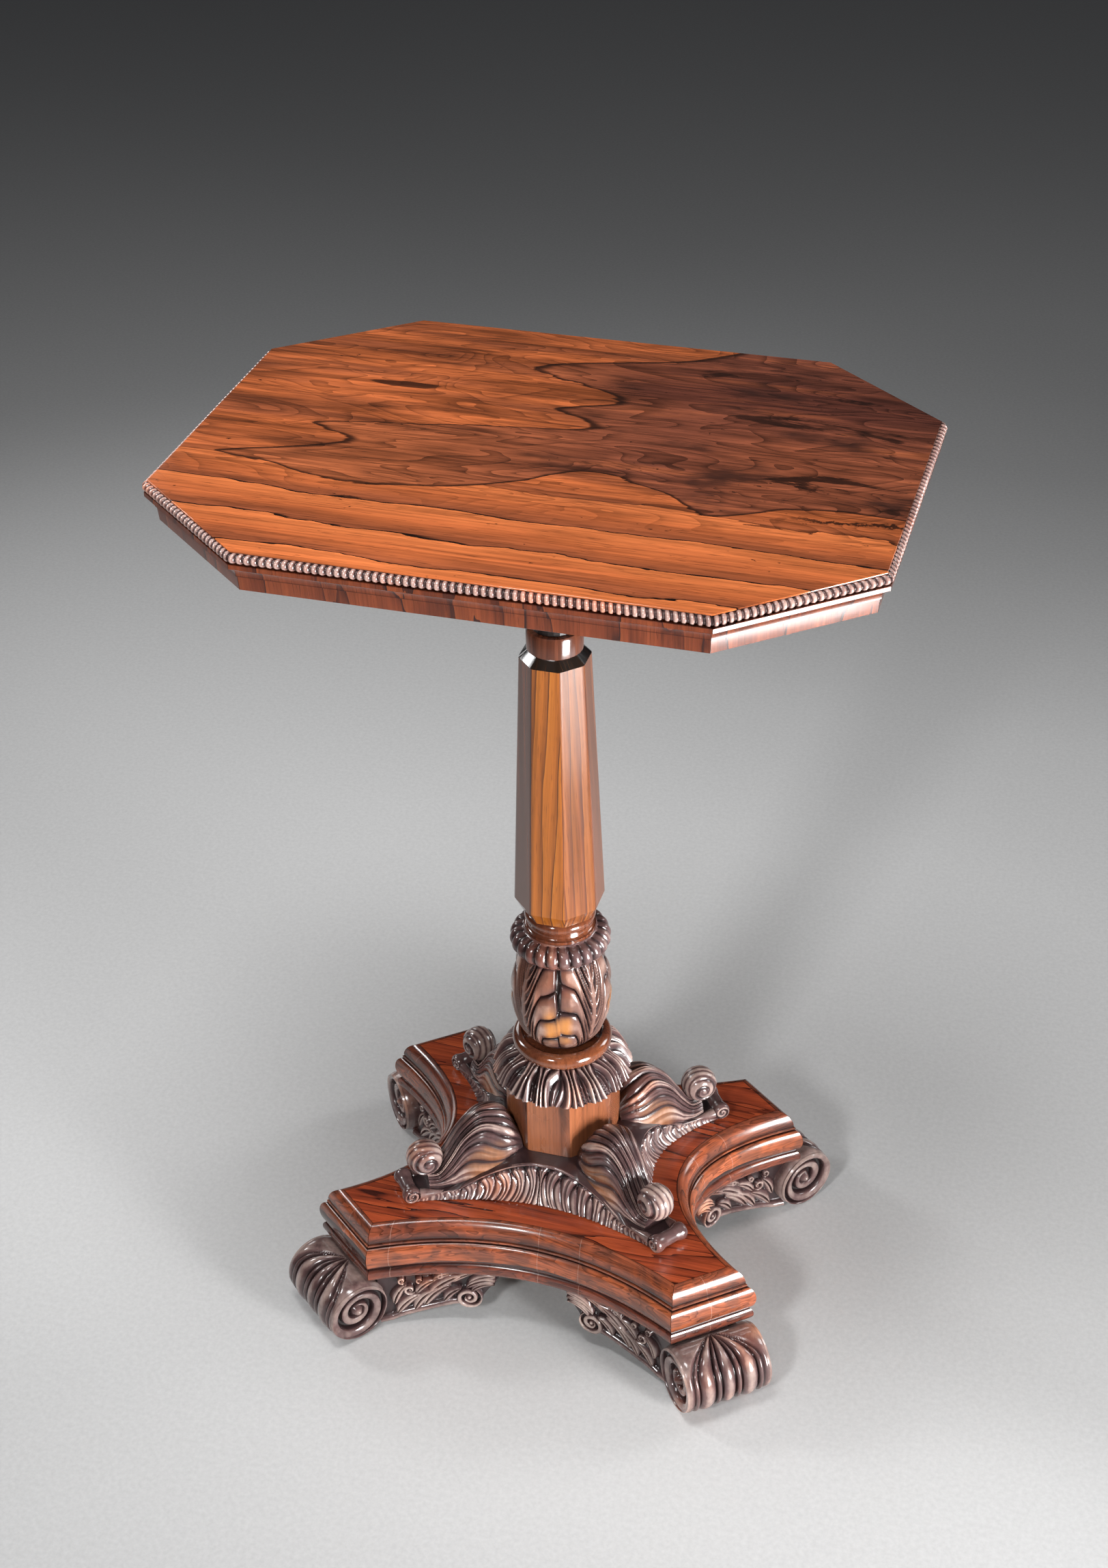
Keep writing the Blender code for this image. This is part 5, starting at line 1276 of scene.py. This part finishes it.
def moulding_profile():
    """Section round the platform: (outward, height) pairs from the bottom inside corner, with relief values
    that lay painted shade into the quirk and the valleys between the rounds.
    """
    thumb_low = PLATFORM_TOP - THUMB_HEIGHT
    thumb_start = thumb_low + THUMB_FILLET
    ovolo_high = thumb_low - QUIRK_HEIGHT
    ovolo_half = OVOLO_HEIGHT / 2
    bead_half = (ovolo_high - OVOLO_HEIGHT - PLATFORM_LOW) / 2
    bead = arc((0.0, PLATFORM_LOW + bead_half), LOWER_BEAD_PROUD, bead_half, -84, 72, 14)
    ovolo = arc((0.0, ovolo_high - ovolo_half), OVOLO_PROUD, ovolo_half, -72, 88, 20)
    thumb = arc((-THUMB_WIDTH, thumb_start), THUMB_WIDTH - THUMB_SETBACK, THUMB_HEIGHT - THUMB_FILLET,
                8, 90, 18)
    profile = np.vstack(([(-MOULDING_DEPTH, PLATFORM_LOW), (-STEP_IN, PLATFORM_LOW)], bead, ovolo,
                         [(-QUIRK_DEPTH, ovolo_high), (-QUIRK_DEPTH, thumb_low), (0.0, thumb_low),
                          (0.0, thumb_start), (-STEP_IN, thumb_start)],
                         thumb, [(-THUMB_WIDTH, BOARD_HIGH), (-MOULDING_DEPTH, BOARD_HIGH)]))
    # Relief per point: low values give painted shade in the quirk and valleys.
    relief = np.concatenate(([0, 0.2], arch(len(bead)), arch(len(ovolo)), [0, 0, 0.6, 1, 0.1],
                             np.clip(np.linspace(0.1, 4, len(thumb)), 0, 1)[:-1], [0.35, 0, 0]))
    return profile, relief


def build_mouldings():
    """Mouldings on the hollow sides and across the arms' ends."""
    profile, relief = moulding_profile()
    girth = lengths(profile)
    pieces = []
    for number, side in enumerate(SIDES):
        flat = np.stack([bay_line(side, out, MITRE_PULL) for out, _ in profile], axis=1)
        along = lengths(bay_line(side, 0.0))[:, None]
        pieces.append(("hollow_moulding_" + side, "side_moulding_" + side, flat, along, 0.31 * number))
    t = np.linspace(0, 1, END_ROWS)[:, None]
    for number, (corner, quarter) in enumerate(QUARTERS.items()):
        signs = np.array(quarter) * (1, -1)
        start = np.array([bay_line("front", out)[-1] for out, _ in profile]) * signs
        end = np.array([bay_line("right", out)[0] for out, _ in profile]) * signs
        flat = start + (end - start) * t[..., None]
        along = END_JOINT_PLACE + ARM_EDGE * t
        pieces.append(("arm_end_moulding_" + corner, "end_moulding_" + corner, flat, along, 0.17 * number))
    for name, node, flat, along, leaf in pieces:
        grain = np.stack(np.broadcast_arrays(along, girth, leaf), axis=-1)
        build_piece(name, "moulding_rosewood", node, 26, lifted(flat, profile[:, 1]), caps=True,
                    grain=grain, relief=relief)


def build_platform():
    """Red brown sheet of the platform inside its mouldings."""
    outline = np.vstack([bay_line(side, -THUMB_WIDTH - GAP) for side in SIDES])
    core = on_circle(outline, CORE_RADIUS)
    low = PLATFORM_TOP - VENEER
    levels = ((core, low), (outline, low), (outline, PLATFORM_TOP), (core, PLATFORM_TOP))
    grid = np.array([lifted(flat, z) for flat, z in levels])
    build_piece("platform_sheet", "platform_rosewood", "platform_veneer", 30, grid, wrap_rows=True,
                grain=grid)


# Feet and wings

def foot_frame(quarter, along, out, z):
    """Points in the frame of an arm's end: along the end, outward from it, and up."""
    along, out, z = np.broadcast_arrays(along, out, z)
    x = ARM_MIDDLE[0] + along * ARM_OUT[1] + out * ARM_OUT[0]
    y = ARM_MIDDLE[1] - along * ARM_OUT[0] + out * ARM_OUT[1]
    return np.stack((quarter[0] * x, quarter[1] * y, z), axis=-1)


def foot_roll(quarter, along, reach, turn, radius):
    """Points round a scroll foot's axis, cut off flat at the floor."""
    return foot_frame(quarter, along, FOOT_ROLL_OUT + reach * np.cos(turn),
                      np.maximum(radius + reach * np.sin(turn), 0.0))


def foot_lobes(place):
    """Reeds and lobes across a scroll foot, symmetric about its middle."""
    place = np.abs(place)
    result = np.zeros_like(place)
    for centre, half in ((0.0, 0.15), (0.235, 0.065), (0.50, 0.185), (0.755, 0.065), (0.95, 0.14)):
        height = 0.70 + 0.30 * min(1, half / 0.18)
        result = np.maximum(result, height * dome((place - centre) / half))
    return result


def build_feet():
    """Scroll feet: lobes fanning from under the moulding, coiled ends and a plain block behind."""
    radius = FOOT_HIGH / 2 + FOOT_SOLE_CUT
    turn = full_turn(FOOT_SIDES)[None, :]
    place = np.linspace(-1, 1, FOOT_ROWS)[:, None]
    below = FOOT_APEX - np.where(turn > 1.5 * PI, turn - 2 * PI, turn)
    spread = 0.07 + 0.93 * np.sin(np.clip(below / FOOT_FAN, 0.0, 1.0) * PI / 2)
    lobes = np.where(below > 0, foot_lobes(np.clip(place / spread, -FOOT_RIM, FOOT_RIM)), 0.9)
    lobes = np.where(np.abs(place) > FOOT_RIM, 1.0, lobes)
    narrowing = 1 - FOOT_END_ROUND * smooth(0.80, 1.12, np.abs(place)) / 0.68
    reach = (radius - FOOT_LOBE_DEPTH * (1 - lobes)) * narrowing
    scale = np.linspace(1, 0.012, FOOT_COIL_RINGS)[:, None]
    end_reach = radius * (1 - FOOT_END_ROUND) * scale
    sunk = (1 - spiral_relief(scale, turn, 0.42)) * smooth(1.0, 0.90, scale)
    hollow = smooth(0.95, 0.45, scale) * smooth(0.0, 0.25, scale)
    dished = FOOT_ROLL_HALF_LENGTH - FOOT_DISH * sunk - FOOT_COIL_SINK * hollow
    block = np.array([(0.0, FOOT_BLOCK_TOE), (0.0, FOOT_HIGH), (-FOOT_BLOCK_REACH, FOOT_HIGH),
                      (-FOOT_BLOCK_REACH, FOOT_HIGH * 0.7), (-FOOT_LEAN_START, FOOT_HIGH * 0.25)])
    half = np.array((-1, 1))[:, None] * FOOT_BLOCK_HALF_WIDTH
    for corner, quarter in QUARTERS.items():
        shell = Shell()
        shell.add(foot_roll(quarter, place * FOOT_ROLL_HALF_LENGTH, reach, turn, radius),
                  relief=0.16 + 0.78 * lobes)
        for end in (-1, 1):
            shell.add(foot_roll(quarter, end * dished, end_reach, turn, radius),
                      relief=0.88 - 0.76 * sunk)
        shell.add(foot_frame(quarter, half, block[:, 0], block[:, 1]), caps=True, relief=0.35)
        shell.build("foot_scroll_" + corner, "carved_rosewood", "scroll_foot_" + corner, 60)


def bay_inward(source, distance):
    """Positions on a hollow edge at distances measured along it from the arm's corner."""
    limit = bay_limit(source, 0.0, 0.0)
    places = np.linspace(limit, -limit, 600)
    return np.interp(distance, lengths(bay_point(source, places, 0.0)), places)


def leaf_blade(x, z, root, tip, width, bow):
    """Bowed leaf with a midrib between two points: 0 outside it, 1 on its crest."""
    root = np.array(root)
    ahead = np.array(tip) - root
    length = np.hypot(*ahead)
    ahead = ahead / length
    along = ((x - root[0]) * ahead[0] + (z - root[1]) * ahead[1]) / length
    across = -(x - root[0]) * ahead[1] + (z - root[1]) * ahead[0] - 4 * bow * along * (1 - along)
    half = width * np.sqrt(np.clip(4 * along * (1 - along), 0.0, 1.0)) * (1.15 - 0.3 * along) + 1e-6
    place = across / half
    inside = dome(place) * ((along > 0) & (along < 1))
    return inside * (1 - 0.4 * smooth(0.18, 0.04, np.abs(place)))


def wing_relief(x, z):
    """Scrolling leafwork of a wing from place along it and height, in millimetres: 0 deep, 1 proud."""
    rail = np.interp(x, (0, 10, 17, 32, 47, 59, 67), (4.5, 5.5, 8.5, 12.0, 16.0, 19.5, 20.5))
    result = np.maximum(0.9 * dome((z - rail) / 4.6) * smooth(69, 64, x), 0.34)
    scroll_x, scroll_z, scroll_radius = 72.0, 25.5, 11.8
    distance = np.hypot(x - scroll_x, z - scroll_z)
    coil = spiral_relief(distance / scroll_radius, np.arctan2(z - scroll_z, x - scroll_x), 0.5)
    result = np.maximum(result, smooth(scroll_radius, scroll_radius - 1.4, distance) * (0.15 + 0.85 * coil))
    for bud_x, bud_z, bud_radius in ((25, 36, 5.5), (33, 46, 3.6), (19, 47, 4.0), (50, 50, 3.2)):
        away = np.hypot(x - bud_x, z - bud_z) / bud_radius
        bud = spiral_relief(np.clip(away, 0, 1), np.arctan2(z - bud_z, x - bud_x), 0.7)
        result = np.maximum(result, smooth(1.0, 0.85, away) * bud)
    blades = (((14, 12), (32, 30), 4.0, 2.0), ((28, 14), (48, 36), 4.2, 3.0), ((36, 18), (58, 40), 4.2, 3.0),
              ((40, 30), (66, 50), 4.4, 2.0), ((30, 32), (46, 46), 3.4, 2.0), ((52, 22), (66, 36), 3.6, 2.0),
              ((70, 37), (94, 46), 3.4, 3.0), ((72, 42), (95, 51), 3.4, 2.5), ((74, 33), (93, 42), 3.0, 3.0),
              ((60, 44), (76, 53), 3.0, 1.5), ((12, 22), (22, 42), 3.4, 2.0), ((44, 46), (60, 53), 2.8, 1.0))
    for root, tip, width, bow in blades:
        result = np.maximum(result, leaf_blade(x, z, root, tip, 1.60 * width, bow))
    return result


def build_wings():
    """Carved wings under the hollow edges, from the feet to a leaf tip."""
    t = np.linspace(0, 1, WING_COLUMNS)
    low = read_curve([(0.0, 0.0008), (0.10, 0.0018), (0.18, 0.0046), (0.35, 0.0090), (0.52, 0.0128),
                      (0.62, 0.0140), (0.69, 0.0134), (0.76, 0.0136), (0.84, 0.0165), (0.89, 0.0270),
                      (0.95, 0.0365), (1.0, 0.0430)], 12, t)[:, None]
    rise = np.linspace(0, 1, WING_ROWS)[None, :]
    z = low + (FOOT_HIGH - low) * rise
    x = (t * WING_LENGTH * 1000)[:, None] + 0 * z
    relief = wing_relief(x, z * 1000) * smooth(0.0, 0.05, rise) * smooth(0.0, 0.02, 1 - t)[:, None]
    out = WING_PROUD - WING_DEPTH * (1 - relief) - WING_OUTER
    high = np.concatenate((z, z[:, -1:], z[:, :1]), axis=1)
    shade = np.concatenate((relief, np.full((WING_COLUMNS, 2), 0.3)), axis=1)
    for corner, quarter in QUARTERS.items():
        for side, source in (("long_side", "front"), ("short_side", "right")):
            place = bay_inward(source, WING_START + WING_LENGTH * t)[:, None]
            face = bay_point(source, place + 0 * z, out)
            back = bay_point(source, np.repeat(place, 2, axis=1), -WING_OUTER - WING_THICKNESS)
            flat = np.abs(np.concatenate((face, back), axis=1)) * quarter
            name = corner + "_" + side
            build_piece("wing_" + name, "carved_rosewood", "foot_wing_" + name, 65, lifted(flat, high),
                        caps=True, relief=shade)


# Stage

def add_area_light(name, place, target, size, power, spread):
    """Soft box that shines from a place towards a target within a cone in degrees."""
    light = bpy.data.lights.new(name, "AREA")
    light.shape = "RECTANGLE"
    light.size, light.size_y = size
    light.energy = power
    light.spread = math.radians(spread)
    lamp = bpy.data.objects.new(name, light)
    lamp.location = place
    lamp.rotation_mode = "QUATERNION"
    lamp.rotation_quaternion = (Vector(target) - Vector(place)).to_track_quat("-Z", "Y")
    lamp.visible_camera = False
    bpy.context.scene.collection.objects.link(lamp)


def build_floor():
    """Plain pale floor with a fine speckle."""
    graph = Graph("studio_floor_paint")
    speckle = graph.noise(graph.place(), (260.0, 260.0, 260.0), 3.0, 0.6)
    colour = graph.ramp(speckle, ((0.3, 0.60), (0.7, 0.67)))
    graph.finish(colour, 0.85, speckle, 0.05, 0.0)
    signs = ((-1, -1), (1, -1), (1, 1), (-1, 1))
    corners = [(x * FLOOR_REACH, y * FLOOR_REACH, -FLOOR_DROP) for x, y in signs]
    mesh = bpy.data.meshes.new("studio_floor")
    mesh.from_pydata(corners, [], [(0, 1, 2, 3)])
    mesh.materials.append(graph.material)
    floor = bpy.data.objects.new("studio_floor", mesh)
    bpy.context.scene.collection.objects.link(floor)


def build_lights():
    """Soft boxes round the table."""
    add_area_light("right_box", (1.05, -0.57, 0.29), (0.0, 0.0, 0.52), (0.42, 0.52), 5.0, 62)
    add_area_light("end_box", (1.30, -0.76, 0.42), (0.1, -0.1, 0.08), (0.25, 0.40), 1.2, 50)
    add_area_light("floor_box", (0.95, -0.30, 0.02), (0.80, -0.25, 1.0), (1.0, 0.7), 5.0, 150)
    add_area_light("front_box", (-0.35, -2.10, 1.80), TABLE_MIDDLE, (0.32, 0.32), 11.0, 120)
    add_area_light("left_box", (-1.50, 0.20, 1.20), TABLE_MIDDLE, (0.25, 0.35), 3.2, 120)
    add_area_light("overhead_box", (-0.10, -0.35, 2.20), TABLE_MIDDLE, (0.6, 0.6), 8.8, 120)
    add_area_light("back_left_box", (-1.40, 1.20, 1.00), TABLE_MIDDLE, (0.5, 0.8), 1.8, 120)
    add_area_light("back_right_box", (1.50, 1.10, 1.00), TABLE_MIDDLE, (0.5, 0.8), 4.5, 120)


def build_air():
    """Dim bluish surroundings that brighten upward from the horizon, shown in plain colours."""
    world = bpy.data.worlds.new("studio_air")
    world.use_nodes = True
    nodes = world.node_tree.nodes
    links = world.node_tree.links
    background = nodes["Background"]
    background.inputs["Color"].default_value = (0.90, 0.93, 1.0, 1.0)
    direction = nodes.new("ShaderNodeTexCoord").outputs["Generated"]
    split = nodes.new("ShaderNodeSeparateXYZ")
    fade = nodes.new("ShaderNodeMapRange")
    limits = {"From Min": 0.0, "From Max": 0.6, "To Min": 0.019, "To Max": 0.035}
    for key, value in limits.items():
        fade.inputs[key].default_value = value
    links.new(direction, split.inputs[0])
    links.new(split.outputs["Z"], fade.inputs[0])
    links.new(fade.outputs[0], background.inputs["Strength"])
    bpy.context.scene.world = world
    bpy.context.scene.view_settings.view_transform = "Standard"


def build_camera():
    """Camera where the photograph was taken from."""
    level = math.cos(CAMERA_ELEVATION)
    back = Vector((math.sin(CAMERA_AZIMUTH) * level, -math.cos(CAMERA_AZIMUTH) * level,
                   math.sin(CAMERA_ELEVATION)))
    right = Vector((0, 0, 1)).cross(back).normalized()
    up = back.cross(right)
    cos_roll = math.cos(CAMERA_ROLL)
    sin_roll = math.sin(CAMERA_ROLL)
    right, up = cos_roll * right + sin_roll * up, cos_roll * up - sin_roll * right
    data = bpy.data.cameras.new("photo_camera")
    data.sensor_width = SENSOR
    data.lens = FOCAL_PIXELS / FRAME_HEIGHT * SENSOR
    camera = bpy.data.objects.new("photo_camera", data)
    turn = Matrix((right, up, back)).transposed().to_4x4()
    camera.matrix_world = Matrix.Translation(CAMERA_TARGET + CAMERA_DISTANCE * back) @ turn
    bpy.context.scene.collection.objects.link(camera)
    bpy.context.scene.camera = camera


def dress_frame():
    """Give the plain nodes that stay their own finish."""
    slots = {entry["node"]: entry["material_slot"] for entry in frame["record"]["subparts"]}
    for name, thing in frame["nodes"].items():
        thing.data.materials.clear()
        thing.data.materials.append(MATERIALS[slots[name]])


dress_frame()
build_sheet()
build_top()
build_shaft()
build_turned()
build_plinth()
build_collar()
build_bulb()
build_skirt()
build_tier()
build_brackets()
build_mouldings()
build_platform()
build_feet()
build_wings()
build_floor()
build_lights()
build_air()
build_camera()
